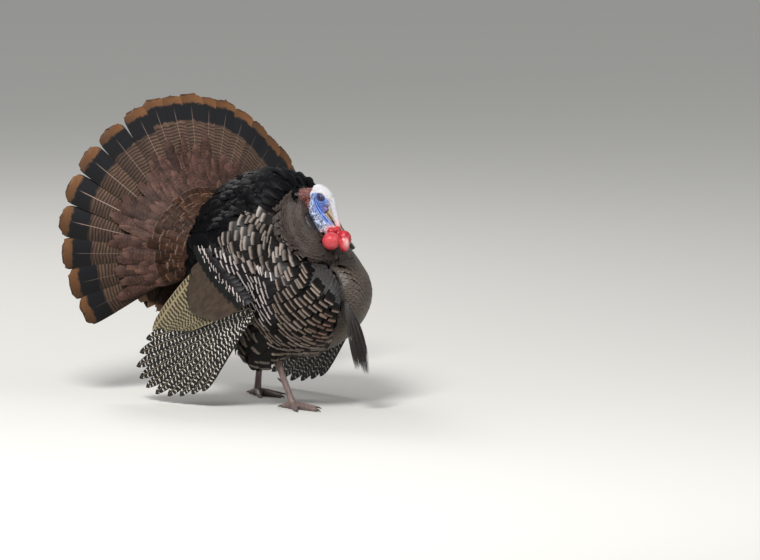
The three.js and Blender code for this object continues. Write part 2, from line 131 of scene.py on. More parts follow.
def addColours(mesh, name, values):
    # values are one number or three for each point
    layer = mesh.attributes.new(name, "FLOAT_COLOR", "POINT")
    full = np.ones((len(values), 4), np.float32)
    full[:, :3] = np.reshape(values, (len(values), -1))
    layer.data.foreach_set("color", full.ravel())


def finishPiece(obj, nodes, slot, material):
    obj.data.materials.clear()
    obj.data.materials.append(material)
    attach(obj, "root")
    if nodes:
        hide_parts(*nodes)
    print(obj.name, "triangles", sum(len(p.vertices) - 2 for p in obj.data.polygons))


def nodeKit(tree, names):
    # short builders for one node tree; names says which are wanted
    def link(value, socket):
        if isinstance(value, bpy.types.NodeSocket):
            tree.links.new(value, socket)
        elif value is not None:
            if isinstance(value, (tuple, list)) and len(value) == 3 and socket.type == "RGBA":
                value = (*value, 1)
            socket.default_value = value

    def maths(kind, a, b=None, c=None, clamp=False):
        node = tree.nodes.new("ShaderNodeMath")
        node.operation = kind
        node.use_clamp = clamp
        for value, socket in zip((a, b, c), node.inputs):
            link(value, socket)
        return node.outputs[0]

    def ramp(value, low, high, toLow=0.0, toHigh=1.0, kind="SMOOTHSTEP"):
        node = tree.nodes.new("ShaderNodeMapRange")
        node.interpolation_type = kind
        names = ("Value", "From Min", "From Max", "To Min", "To Max")
        for name, given in zip(names, (value, low, high, toLow, toHigh)):
            link(given, node.inputs[name])
        return node.outputs[0]

    def blend(factor, a, b, kind="MIX"):
        node = tree.nodes.new("ShaderNodeMix")
        node.data_type = "RGBA"
        node.blend_type = kind
        link(factor, node.inputs["Factor"])
        link(a, node.inputs[6])
        link(b, node.inputs[7])
        return node.outputs[2]

    def noise(vector, scale, detail=2.0, rough=0.5):
        node = tree.nodes.new("ShaderNodeTexNoise")
        link(vector, node.inputs["Vector"])
        link(scale, node.inputs["Scale"])
        link(detail, node.inputs["Detail"])
        link(rough, node.inputs["Roughness"])
        return node.outputs["Fac"]

    def joined(x, y, z=0.0):
        node = tree.nodes.new("ShaderNodeCombineXYZ")
        for value, socket in zip((x, y, z), node.inputs):
            link(value, socket)
        return node.outputs[0]

    def parted(vector):
        node = tree.nodes.new("ShaderNodeSeparateXYZ")
        link(vector, node.inputs[0])
        return node.outputs

    def placed(group, **values):
        node = tree.nodes.new("ShaderNodeGroup")
        node.node_tree = group
        for key, value in values.items():
            link(value, node.inputs[key])
        return node.outputs

    builders = {"link": link, "maths": maths, "ramp": ramp, "blend": blend, "noise": noise, "joined": joined,
                "parted": parted, "placed": placed}
    return [builders[name] for name in names.split()]


def newMaterial(name):
    material = bpy.data.materials.new(name)
    material.use_nodes = True
    return material, material.node_tree, material.node_tree.nodes["Principled BSDF"]


def attributeOf(tree, name):
    node = tree.nodes.new("ShaderNodeAttribute")
    node.attribute_name = name
    return node.outputs


def objectPlace(tree):
    return tree.nodes.new("ShaderNodeTexCoord").outputs["Object"]


def addBump(tree, shader, height, strength, distance):
    bump = tree.nodes.new("ShaderNodeBump")
    bump.inputs["Strength"].default_value = strength
    bump.inputs["Distance"].default_value = distance
    tree.links.new(height, bump.inputs["Height"])
    tree.links.new(bump.outputs[0], shader.inputs["Normal"])


def newGroup(name, inputs, outputs):
    group = bpy.data.node_groups.new(name, "ShaderNodeTree")
    for label, kind, default in inputs:
        socket = group.interface.new_socket(label, in_out="INPUT", socket_type=kind)
        if default is not None:
            socket.default_value = default
    for label, kind in outputs:
        group.interface.new_socket(label, in_out="OUTPUT", socket_type=kind)
    return group, group.nodes.new("NodeGroupInput").outputs, group.nodes.new("NodeGroupOutput").inputs


def makeVaneGroup():
    # across runs from -1 to 1 over the blade, tip is the distance from the tip in metres
    number = "NodeSocketFloat"
    group, given, out = newGroup(
        "feather vane",
        [("Seed", number, 0.0)],
        [("Across", number), ("Tip", number), ("Barbs", number), ("Patch", number)],
    )
    link, maths, noise, joined, parted = nodeKit(group, "link maths noise joined parted")
    uv = group.nodes.new("ShaderNodeUVMap")
    uv.uv_map = "vane"
    x, y = parted(uv.outputs[0])[:2]
    across = maths("MULTIPLY_ADD", x, 2.0, -1.0)
    side = maths("ABSOLUTE", across)
    # barbs leave the shaft at a slant and part here and there
    slant = maths("MULTIPLY_ADD", side, 0.012, y)
    fine = joined(maths("MULTIPLY", across, 1.3), maths("MULTIPLY", slant, 420.0),
                  maths("MULTIPLY", given["Seed"], 37.0))
    wide = joined(across, maths("MULTIPLY", slant, 60.0), maths("MULTIPLY", given["Seed"], 91.0))
    link(across, out["Across"])
    link(y, out["Tip"])
    link(noise(fine, 1.0, 3.0, 0.6), out["Barbs"])
    link(noise(wide, 1.0, 2.0), out["Patch"])
    return group


def makeBandGroup():
    # one band across the blade, with a ragged edge
    number = "NodeSocketFloat"
    group, given, out = newGroup(
        "feather band",
        [("Tip", number, 0.0), ("Start", number, 0.0), ("End", number, 0.01), ("Soft", number, 0.002),
         ("Ragged", number, 0.002), ("Barbs", number, 0.5)],
        [("Mask", number)],
    )
    link, maths, ramp = nodeKit(group, "link maths ramp")
    shift = maths("MULTIPLY", maths("SUBTRACT", given["Barbs"], 0.5), given["Ragged"])
    place = maths("ADD", given["Tip"], shift)
    soft = given["Soft"]
    past = [ramp(place, maths("SUBTRACT", given[end], soft), maths("ADD", given[end], soft))
            for end in ("Start", "End")]
    link(maths("SUBTRACT", *past, clamp=True), out["Mask"])
    return group


def makeBarGroup():
    # wavy cross bars that repeat down the blade
    number = "NodeSocketFloat"
    group, given, out = newGroup(
        "feather bars",
        [("Across", number, 0.0), ("Tip", number, 0.0), ("Pitch", number, 0.01), ("Width", number, 0.5),
         ("Wave", number, 0.3), ("Slant", number, 0.0), ("Seed", number, 0.0)],
        [("Mask", number)],
    )
    link, maths, ramp, noise, joined = nodeKit(group, "link maths ramp noise joined")
    turns = maths("DIVIDE", given["Tip"], given["Pitch"])
    spot = joined(maths("MULTIPLY", given["Across"], 2.2), maths("MULTIPLY", turns, 0.55),
                  maths("MULTIPLY", given["Seed"], 53.0))
    wobble = maths("MULTIPLY", maths("SUBTRACT", noise(spot, 1.0, 2.0), 0.5), given["Wave"])
    slanted = maths("MULTIPLY", maths("ABSOLUTE", given["Across"]), given["Slant"])
    phase = maths("ADD", maths("ADD", turns, slanted), maths("MULTIPLY", wobble, 4.0))
    wave = maths("SINE", maths("MULTIPLY", maths("ADD", phase, given["Seed"]), 2 * math.pi))
    edge = maths("MULTIPLY_ADD", given["Width"], -2.0, 1.0)
    link(ramp(wave, maths("SUBTRACT", edge, 0.18), maths("ADD", edge, 0.18)), out["Mask"])
    return group


vaneGroup, bandGroup, barGroup = makeVaneGroup(), makeBandGroup(), makeBarGroup()


# what a look may leave out: how far the bands shift from feather to feather, the range of brightness over
# the feathers and between the barbs, the shine and the height of the barbs; colours are sRGB hex codes
plainPlume = {
    "bands": (), "uneven": (1.25, 0.82), "dim": 0.75, "lit": 1.2, "barbDark": 0.8, "gloss": 0.5, "bump": 0.35,
}


def band(start, end, colour, ragged=0.003, soft=0.001, strength=1.0, front=None):
    # a colour between two distances from the tip; front takes its place where the coat is coppery
    return {"start": start, "end": end, "colour": colour, "ragged": ragged, "soft": soft,
            "strength": strength, "front": front}


def rim(width, colour, strength):
    # the sides of the vane, over this share of its half width
    return {"width": width, "colour": colour, "strength": strength}


def plumeMaterial(name, look):
    # base and baseB: the plain colours, in patches; bars: marks that repeat from the tip to the root
    look = {**plainPlume, **look}
    material, tree, shader = newMaterial(name)
    builders = "link maths ramp blend joined parted placed"
    link, maths, ramp, blend, joined, parted, placed = nodeKit(tree, builders)

    def times(a, b):
        return maths("MULTIPLY", a, b)

    def shaded(colour, brightness):
        return blend(1.0, colour, joined(brightness, brightness, brightness), "MULTIPLY")

    seed, zone, tone = parted(attributeOf(tree, "plume")["Vector"])
    vane = placed(vaneGroup, Seed=seed)
    tip, barbs = vane["Tip"], vane["Barbs"]
    side = maths("ABSOLUTE", vane["Across"])
    colour = blend(ramp(vane["Patch"], 0.3, 0.7), ink(look["base"]), ink(look["baseB"]))
    if "bars" in look:
        bars = look["bars"]
        mask = placed(barGroup, Across=vane["Across"], Tip=tip, Pitch=bars["pitch"], Width=bars["width"],
                      Wave=bars["wave"], Slant=bars.get("slant", 0.0), Seed=seed)["Mask"]
        mask = times(mask, ramp(tip, bars["start"], bars["start"] + 0.004))
        mask = times(mask, ramp(tip, bars["end"] * 0.75, bars["end"], 1.0, 0.0))
        colour = blend(times(mask, bars["strength"]), colour, ink(bars["colour"]))
    bandTip = times(tip, ramp(seed, 0.0, 1.0, *look["uneven"], "LINEAR"))
    for stripe in look["bands"]:
        mask = placed(bandGroup, Tip=bandTip, Start=stripe["start"], End=stripe["end"], Soft=stripe["soft"],
                      Ragged=stripe["ragged"], Barbs=barbs)["Mask"]
        paint = ink(stripe["colour"])
        if stripe["front"]:
            paint = blend(zone, paint, ink(stripe["front"]))
        colour = blend(times(mask, stripe["strength"]), colour, paint)
    if "overlapShade" in look:
        # painted shade and light across the vane: darker towards the edge that the next feather overlaps, a
        # little lighter at the other edge
        colour = shaded(colour, ramp(vane["Across"], -1.0, 0.9, look["overlapShade"], 1.15, "LINEAR"))
    if "edge" in look:
        edge = look["edge"]
        mask = ramp(side, 1.0 - edge["width"], 1.0 - edge["width"] * 0.3)
        colour = blend(times(mask, edge["strength"]), colour, ink(edge["colour"]))
    if "rachis" in look:
        rachis = look["rachis"]
        mask = ramp(side, rachis["width"] * 0.8, rachis["width"] * 1.2, 1.0, 0.0)
        colour = blend(mask, colour, ink(rachis["colour"]))
    if "shaft" in look:
        shaft = look["shaft"]
        start = shaft.get("start", 0.0)
        mask = ramp(side, shaft["width"] * 0.5, shaft["width"], 1.0, 0.0)
        mask = times(mask, ramp(tip, start, start + 0.03))
        # the zone strengthens the pale shaft on some feathers: a painted highlight where the light catches
        # them
        if shaft.get("highlightByZone"):
            mask = times(mask, zone)
        colour = blend(times(mask, shaft["strength"]), colour, ink(shaft["colour"]))
    # each feather a little lighter or darker, and darker between its barbs
    colour = shaded(colour, times(ramp(tone, 0.0, 1.0, look["dim"], look["lit"], "LINEAR"),
                                  ramp(barbs, 0.25, 0.75, look["barbDark"], 1.12, "LINEAR")))
    link(colour, shader.inputs["Base Color"])
    rough = look["rough"]
    link(ramp(barbs, 0.2, 0.8, rough - 0.06, rough + 0.1, "LINEAR"), shader.inputs["Roughness"])
    shader.inputs["Specular IOR Level"].default_value = look["gloss"]
    addBump(tree, shader, barbs, look["bump"], 0.0006)
    return material


# A feather is a closed blade: an arched top of several columns and a flat underside, on a spine.
def bladeFaces(rowCount, columnCount):
    last = rowCount * columnCount + 1
    end = columnCount - 1

    def at(i, j):
        return 1 + i * columnCount + j

    top, under = [], []
    for j in range(end):
        top.append((0, at(0, j + 1), at(0, j)))
        top.append((last, at(rowCount - 1, j), at(rowCount - 1, j + 1)))
        for i in range(rowCount - 1):
            top.append((at(i, j), at(i, j + 1), at(i + 1, j + 1), at(i + 1, j)))
    under.append((0, at(0, 0), at(0, end)))
    under.append((last, at(rowCount - 1, end), at(rowCount - 1, 0)))
    for i in range(rowCount - 1):
        under.append((at(i, end), at(i, 0), at(i + 1, 0), at(i + 1, end)))
    return top, under


def makeFeathers(name, spines, sizes, shape, plume, patches, material, slot, nodes=()):
    # spines: points, sideways and upwards directions, each feather by station from root to tip
    spine, side, up = spines
    halfWidth, length = sizes
    rows, widths, columns = (np.asarray(shape[key], float) for key in ("rows", "widths", "columns"))
    count, rowCount, columnCount = len(spine), len(rows), len(columns)
    perFeather = rowCount * columnCount + 2
    halfWidth = np.broadcast_to(np.asarray(halfWidth, float), (count,))
    length = np.broadcast_to(np.asarray(length, float), (count,))
    points = np.zeros((count, perFeather, 3))
    flat = np.zeros((count, perFeather, 2))
    place = np.zeros((count, perFeather, 2))
    # flat: place over the width and distance from the tip; place: the same as shares, for the patch
    points[:, 0], points[:, -1] = spine[:, 0], spine[:, -1]
    flat[:, 0, 0], flat[:, 0, 1], flat[:, -1, 0] = 0.5, length, 0.5
    place[:, 0], place[:, -1] = (0.5, 0), (0.5, 1)
    ragged = chance.normal(0, 1, (count, rowCount, columnCount)) * shape.get("ragged", 0.0)
    turn = shape.get("turn", 0) + chance.normal(0, shape.get("roll", 0), count)
    for i in range(rowCount):
        wide = widths[i] * halfWidth
        ahead = unit(spine[:, min(i + 2, rowCount + 1)] - spine[:, i])
        nearTip = 0.25 + 0.75 * (rows[i] > 0.8)
        for j, a in enumerate(columns):
            lift = shape["camber"] * halfWidth * (1 - a * a) * min(1, widths[i] * 1.2) + turn * wide * a
            slide = (ragged[:, i, j] * nearTip - shape.get("sweep", 0) * a * a * widths[i]) * halfWidth
            k = 1 + i * columnCount + j
            points[:, k] = (spine[:, i + 1] + side[:, i + 1] * (wide * a)[:, None]
                            + up[:, i + 1] * lift[:, None] + ahead * slide[:, None])
            flat[:, k, 0] = 0.5 + 0.5 * a * widths[i]
            flat[:, k, 1] = (1 - rows[i]) * length
            place[:, k] = (0.5 + 0.5 * a * widths[i], rows[i])
    top, under = bladeFaces(rowCount, columnCount)
    faces = top + under
    loops = np.concatenate(faces)
    below = np.concatenate([np.full(len(face), n >= len(top)) for n, face in enumerate(faces)])
    corners = loops[None, :] + (np.arange(count) * perFeather)[:, None]
    mesh = meshFrom(name, points.reshape(-1, 3), corners.ravel(), np.tile([len(f) for f in faces], count))
    # every feather has its own patch at its root's place, and its underside takes the last part of it
    here = place[:, loops]
    u = np.where(below, 0.84 + 0.15 * here[..., 0], 0.8 * here[..., 0])
    v = 0.02 + 0.96 * here[..., 1]
    left, low, wide, tall = (patches[:, k, None] for k in range(4))
    addUv(mesh, "OFBake", np.stack((left + u * wide, low + v * tall), -1))
    addUv(mesh, "vane", flat[:, loops])
    addColours(mesh, "plume", np.repeat(plume, perFeather, axis=0))
    mesh.set_sharp_from_angle(angle=math.radians(60))
    return finishPiece(newObject(name, mesh), nodes, slot, material)


squareShape = {
    "rows": (0.14, 0.38, 0.62, 0.84, 0.955, 0.992), "widths": (0.45, 0.82, 0.97, 1.0, 0.97, 0.84),
    "columns": (-1, -0.55, 0, 0.55, 1), "camber": 0.13, "ragged": 0.04, "sweep": 0.03,
}
roundShape = {
    "rows": (0.14, 0.38, 0.62, 0.82, 0.94, 0.985), "widths": (0.45, 0.8, 0.97, 1.0, 0.8, 0.5),
    "columns": (-1, -0.55, 0, 0.55, 1), "camber": 0.15, "ragged": 0.05, "sweep": 0.05,
}
tuftShape = {
    "rows": (0.2, 0.5, 0.8, 0.95), "widths": (0.6, 1.0, 0.95, 0.6),
    "columns": (-1, 0, 1), "camber": 0.22, "ragged": 0.1, "sweep": 0.1,
}


def randomPlume(count, zone=0.0):
    plume = chance.random((count, 3))
    plume[:, 1] = zone
    return plume


def evenPatches(count, wide=1):
    # long strips side by side for pieces with few, large feathers
    across = int(math.ceil(count / wide))
    column, row = np.arange(count) % across, np.arange(count) // across
    return np.stack(((column + 0.03) / across, (row + 0.02) / wide,
                     np.full(count, 0.94 / across), np.full(count, 0.96 / wide)), -1)


# the skin, as one closed mesh under the feathers
skinLook = {
    "coatDepth": 0.011,  # how far the skin lies inside the feathers
    "bodyVoxel": 0.008, "headVoxel": 0.0013, "legVoxel": 0.0018,
}
sides = ("right", "left")
bodyNodes = ["trunk_rump", "trunk_back", "trunk_belly", "trunk_breast_right", "trunk_breast_left"]
bodyNodes += ["neck_ruff"] + [f"{node}_{side}" for node in ("shoulder", "thigh") for side in sides]
bodyNodes += [f"wing_{side}_arm" for side in sides]
bareNodes = ["head", "neck_throat", "snood", "caruncle_middle", "caruncle_left", "caruncle_right"]
bareNodes += [f"{node}_{side}" for node in ("shank", "foot") for side in sides]


def meshArrays(mesh):
    points = np.zeros(len(mesh.vertices) * 3)
    mesh.vertices.foreach_get("co", points)
    normals = np.zeros(len(mesh.vertices) * 3)
    mesh.vertices.foreach_get("normal", normals)
    return points.reshape(-1, 3) - birdOrigin, normals.reshape(-1, 3)


def setPoints(mesh, points):
    mesh.vertices.foreach_set("co", (points + birdOrigin).astype(np.float32).ravel())
    mesh.update()


def applied(obj):
    # the mesh with the object's modifiers worked in; the helper object goes
    graph = bpy.context.evaluated_depsgraph_get()
    mesh = bpy.data.meshes.new_from_object(obj.evaluated_get(graph))
    bpy.data.objects.remove(obj)
    return mesh


def voxelled(mesh, voxel):
    obj = newObject("helper", mesh)
    remesh = obj.modifiers.new("remesh", "REMESH")
    remesh.mode = "VOXEL"
    remesh.voxel_size = voxel
    return applied(obj)


def softened(mesh, rounds, share=0.5):
    points = meshArrays(mesh)[0]
    pairs = np.zeros(len(mesh.edges) * 2, np.int32)
    mesh.edges.foreach_get("vertices", pairs)
    a, b = pairs.reshape(-1, 2).T
    degree = np.bincount(np.concatenate((a, b)), minlength=len(points))[:, None]

    def averaged(p):
        total = [np.bincount(a, p[b, k], len(p)) + np.bincount(b, p[a, k], len(p)) for k in range(3)]
        return np.stack(total, -1) / np.maximum(degree, 1)

    for _ in range(rounds):
        points = mix(points, averaged(points), share)
        points = mix(points, averaged(points), -share * 1.04)  # keeps the volume
    setPoints(mesh, points)
    return mesh


def joinedMesh(name, pieces):
    points, faces, base = [], [], 0
    for piecePoints, pieceFaces in pieces:
        points.append(piecePoints)
        faces += [[i + base for i in face] for face in pieceFaces]
        base += len(piecePoints)
    return meshOf(name, np.concatenate(points), faces)


def nodePiece(node, grow=0.001):
    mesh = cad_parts[node].data
    points, normals = meshArrays(mesh)
    welded, inverse = np.unique(np.round(points, 5), axis=0, return_inverse=True)
    inverse = inverse.ravel()
    total = np.zeros_like(welded)
    np.add.at(total, inverse, normals)
    faces = [[int(inverse[i]) for i in p.vertices] for p in mesh.polygons]
    return welded + unit(total) * grow, [f for f in faces if len(set(f)) == len(f)]


def ballPiece(centre, radii, bumps=(), detail=5):
    mesh = bmesh.new()
    bmesh.ops.create_icosphere(mesh, subdivisions=detail, radius=1)
    out = np.array([v.co for v in mesh.verts])
    faces = [[v.index for v in f.verts] for f in mesh.faces]
    mesh.free()
    points = out * radii
    for at, reach, rise in bumps:
        points = points + out * (rise * np.exp(-(((points - at) / reach) ** 2).sum(-1)))[:, None]
    return points + centre, faces


def spline(values, t):
    # smooth curve through evenly spaced values
    values = np.asarray(values, float)
    t = np.clip(np.asarray(t, float), 0, 1) * (len(values) - 1)
    i = np.minimum(t.astype(int), len(values) - 2)
    f = t - i
    if values.ndim > 1:
        f = f[..., None]
    before = values[np.maximum(i - 1, 0)]
    after = values[np.minimum(i + 2, len(values) - 1)]
    a, b = values[i], values[i + 1]
    return 0.5 * (2 * a + (b - before) * f + (2 * before - 5 * a + 4 * b - after) * f ** 2
                  + (3 * a - before - 3 * b + after) * f ** 3)


def tubePiece(path, halfWidths, halfDepths, side, steps=40, around=24):
    t = np.linspace(0, 1, steps)
    middle = spline(path, t)
    tangent = unit(np.gradient(middle, axis=0))
    across = unit(side - tangent * (tangent @ side)[:, None])
    up = np.cross(tangent, across)
    turn = np.linspace(0, 2 * math.pi, around, endpoint=False)
    wide = spline(halfWidths, t)[:, None, None] * np.cos(turn)[None, :, None]
    deep = spline(halfDepths, t)[:, None, None] * np.sin(turn)[None, :, None]
    rings = middle[:, None] + across[:, None] * wide + up[:, None] * deep
    points = np.concatenate((rings.reshape(-1, 3), middle[[0, -1]]))
    faces = []
    for i in range(steps - 1):
        for j in range(around):
            k = (j + 1) % around
            faces.append([i * around + j, i * around + k, (i + 1) * around + k, (i + 1) * around + j])
    for j in range(around):
        k = (j + 1) % around
        faces.append([steps * around, k, j])
        faces.append([steps * around + 1, (steps - 1) * around + j, (steps - 1) * around + k])
    return points, faces


ruffMiddle = np.array((0, -0.085, 0.475))


def scapularEdge(y):
    # height of the fold between the scapulars and the feathers of the arm and breast
    return np.interp(y, (-0.20, -0.12, -0.06, 0.0, 0.05, 0.12), (0.352, 0.366, 0.386, 0.410, 0.430, 0.446))


def foldDepth(p):
    # the coat has folds: between the breast lobes, round the ruff and under the scapulars
    x, y, z = p.T
    lobes = 0.017 * np.exp(-((x + 0.004) / 0.014) ** 2) * smooth(-0.08, -0.14, y) * smooth(0.15, 0.22, z)
    lobes *= smooth(0.46, 0.41, z)
    fromRuff = np.linalg.norm(p - ruffMiddle, axis=1) - 0.121
    ruff = 0.013 * np.exp(-(fromRuff / 0.010) ** 2) * smooth(0.54, 0.50, z)
    edge = np.exp(-((z - scapularEdge(y)) / 0.009) ** 2) * smooth(0.07, 0.10, np.abs(x))
    scapular = 0.009 * edge * smooth(-0.14, -0.11, y) * smooth(0.13, 0.09, y)
    farShoulder = 0.018 * smooth(0.09, 0.13, x) * smooth(0.40, 0.44, z) * smooth(0.08, 0.03, y)
    return lobes + ruff + scapular + farShoulder


bodyMesh = voxelled(joinedMesh("body", [nodePiece(node) for node in bodyNodes]), skinLook["bodyVoxel"])
softened(bodyMesh, 6)
coatPoints, coatNormals = meshArrays(bodyMesh)
inwards = skinLook["coatDepth"] + foldDepth(coatPoints)
setPoints(bodyMesh, coatPoints - coatNormals * inwards[:, None])
bodyMesh = softened(voxelled(bodyMesh, skinLook["bodyVoxel"] * 0.8), 5)
print("body skin", len(bodyMesh.vertices))

# head, throat, snood and wattles in the head's frame: forward, up through the crown, to the right
headShapes = {
    "skull": ((-0.004, 0, -0.003), (0.033, 0.0215, 0.025),
              (((-0.001, 0.016, 0.011), (0.014, 0.010, 0.008), 0.0020),
               ((-0.001, -0.016, 0.011), (0.014, 0.010, 0.008), 0.0020),
               ((0.011, 0, 0.018), (0.018, 0.014, 0.014), 0.0065))),
    # path in forward and crown measures, half widths, half depths
    "face": (((-0.012, -0.010), (0.010, -0.011), (0.023, -0.012), (0.036, -0.014)),
             (0.0185, 0.0178, 0.0115, 0.0070), (0.019, 0.018, 0.012, 0.008)),
    "jaw": (((-0.012, -0.022), (0.020, -0.028), (0.058, -0.029), (0.098, -0.025)),
             (0.0190, 0.0180, 0.0165, 0.0150), (0.017, 0.0125, 0.0115, 0.014)),
    "throat": (((-0.012, -0.040), (0.022, -0.041), (0.060, -0.041), (0.092, -0.034)),
               (0.0225, 0.0245, 0.0230, 0.0160), (0.015, 0.0155, 0.0155, 0.010)),
    "nape": (((-0.008, -0.010), (-0.019, -0.024), (-0.027, -0.040), (-0.034, -0.060)),
             (0.019, 0.0215, 0.024, 0.028), (0.018, 0.0185, 0.020, 0.024)),
    "snood": (((0.006, 0.018), (0.024, 0.0150), (0.050, 0.0055), (0.077, -0.0030), (0.100, -0.010)),
              (0.006, 0.0090, 0.0080, 0.0068, 0.0045), (0.005, 0.0085, 0.0078, 0.0070, 0.005)),
    # wattles: middle, then radii
    "wattles": (((-0.004, -0.208, 0.441), (0.0125, 0.014, 0.021)),
                ((-0.029, -0.184, 0.449), (0.0235, 0.022, 0.0235)),
                ((0.020, -0.182, 0.450), (0.0185, 0.020, 0.0225))),
    # small lumps above the wattles, in the head frame: forward, crown, right, radius
    "lumps": (
        (0.094, -0.012, 0.007, 0.0085), (0.103, -0.022, 0.001, 0.0100), (0.090, -0.024, 0.015, 0.0100),
        (0.101, -0.030, 0.016, 0.0110), (0.092, -0.024, -0.014, 0.0105), (0.104, -0.032, -0.012, 0.0110),
        (0.108, -0.015, -0.008, 0.0085), (0.106, -0.012, 0.008, 0.0075), (0.097, -0.044, 0.004, 0.0100)),
}
neckPath = ((-0.003, -0.097, 0.450), (-0.008, -0.070, 0.512), (-0.006, -0.072, 0.562))
neckWidths = (0.045, 0.036, 0.024)


def headPieces():
    centre, radii, bumps = headShapes["skull"]
    # the ball is made as forward, right and up, and then turned into place
    points, faces = ballPiece((0, 0, 0), radii, bumps)
    points = points + centre
    pieces = [(fromHead(points[:, [0]], points[:, [2]], points[:, [1]]), faces)]
    for name in ("face", "jaw", "throat", "nape", "snood"):
        spots, halfWidths, halfDepths = headShapes[name]
        path = [fromHead(f, c, 0) for f, c in spots]
        pieces.append(tubePiece(path, halfWidths, halfDepths, headRight))
    for centre, radii in headShapes["wattles"]:
        pieces.append(ballPiece(centre, radii))
    for f, c, r, radius in headShapes["lumps"]:
        pieces.append(ballPiece(fromHead(f, c, r), (radius, radius, radius), detail=3))
    # the upper neck joins the skull to the body
    pieces.append(tubePiece(neckPath, neckWidths, neckWidths, acrossAxis))
    return pieces


headMesh = softened(voxelled(joinedMesh("head", headPieces()), skinLook["headVoxel"]), 4)
print("head skin", len(headMesh.vertices))

# folds of the head's skin run from behind the eye along the jaw, in forward and crown measures
foldForward = (-0.030, -0.014, -0.005, 0.015, 0.035, 0.070, 0.107)
foldCrown = (0.004, -0.010, -0.021, -0.0265, -0.027, -0.022, -0.014)
snoodLine = ((0.006, 0.024, 0.050, 0.077, 0.100), (0.018, 0.0150, 0.0055, -0.0030, -0.010))
eyePlan = {"spread": 0.0138, "radius": 0.0085, "openForward": 0.0067, "openUp": 0.0058}
headLook = {
    "foldPitch": 0.0052, "foldHeight": 0.0012, "foldWander": 0.0016, "foldWanderSize": 0.016,
    "wrinkleSize": 0.0048, "wrinkleHeight": 0.0016, "ridgeSize": 0.0052, "ridgeHeight": 0.0011,
    "wartSize": 0.0060, "wartHeight": 0.0032, "poreSize": 0.0026, "poreHeight": 0.0005,
    "ringPitch": 0.0042, "ringHeight": 0.00045, "wattleSize": 0.0105, "wattleHeight": 0.0009,
    "reach": 0.17,  # the head's skin is worked within this distance of its middle
}


def fieldOf(points, size, seed=0.0):
    # smooth lumps about as big as size, from -1 to 1
    scaled = points / size + seed
    return np.array([fieldNoise.noise(Vector(p)) for p in scaled])


def cellsOf(points, size):
    # rounded warts: high in their middles, low between them
    near = np.array([fieldNoise.voronoi(Vector(p))[0][:2] for p in points / size])
    return np.clip(near[:, 1] - near[:, 0], 0, 0.8) / 0.8


def foldWander(p):
    return fieldOf(p, headLook["foldWanderSize"]) * headLook["foldWander"]


def rings(distance, pitch):
    # 1 on the crests of even folds, -1 between them
    return np.cos(distance / pitch * 2 * math.pi)


def throatCells(p):
    # the wrinkles of the throat are drawn out across the bill's direction
    return cellsOf(p + headForward * (0.5 * (p @ headForward))[:, None], headLook["ridgeSize"])


def headZones(points):
    # places in the head's frame, and shares from 0 to 1 for each kind of skin
    f, c, r = toHead(points).T
    side = np.abs(r)
    eye = np.hypot(f / 1.12, c)
    fold = c - np.interp(f, foldForward, foldCrown)
    wattle = np.zeros(len(points))
    for centre, radii in headShapes["wattles"]:
        away = np.linalg.norm((points - centre) / (np.array(radii) + 0.003), axis=1)
        wattle = np.maximum(wattle, smooth(1.08, 0.98, away))
    for lf, lc, lr, radius in headShapes["lumps"]:
        away = np.linalg.norm(np.stack((f - lf, c - lc, r - lr), -1), axis=1)
        wattle = np.maximum(wattle, smooth(radius + 0.004, radius, away))
    overSnood = c - np.interp(f, *snoodLine)
    onSnood = smooth(0.004, 0.016, f) * smooth(-0.0125, -0.0095, overSnood) * smooth(0.012, 0.0105, side)
    border = 0.004 * fieldOf(points, 0.0075, 2.0)
    nape = smooth(-0.034, -0.0385, c + 0.786 * f + border) * smooth(0.022, 0.014, f)
    edge = np.interp(f, (-0.035, -0.022, -0.014, -0.006, 0.010, 0.025),
                     (-0.028, -0.014, 0.002, 0.0085, 0.0120, 0.0120))
    white = np.maximum(smooth(-0.0025, 0.0025, c - edge), onSnood)
    return f, c, r, side, eye, fold, wattle, onSnood, nape, white


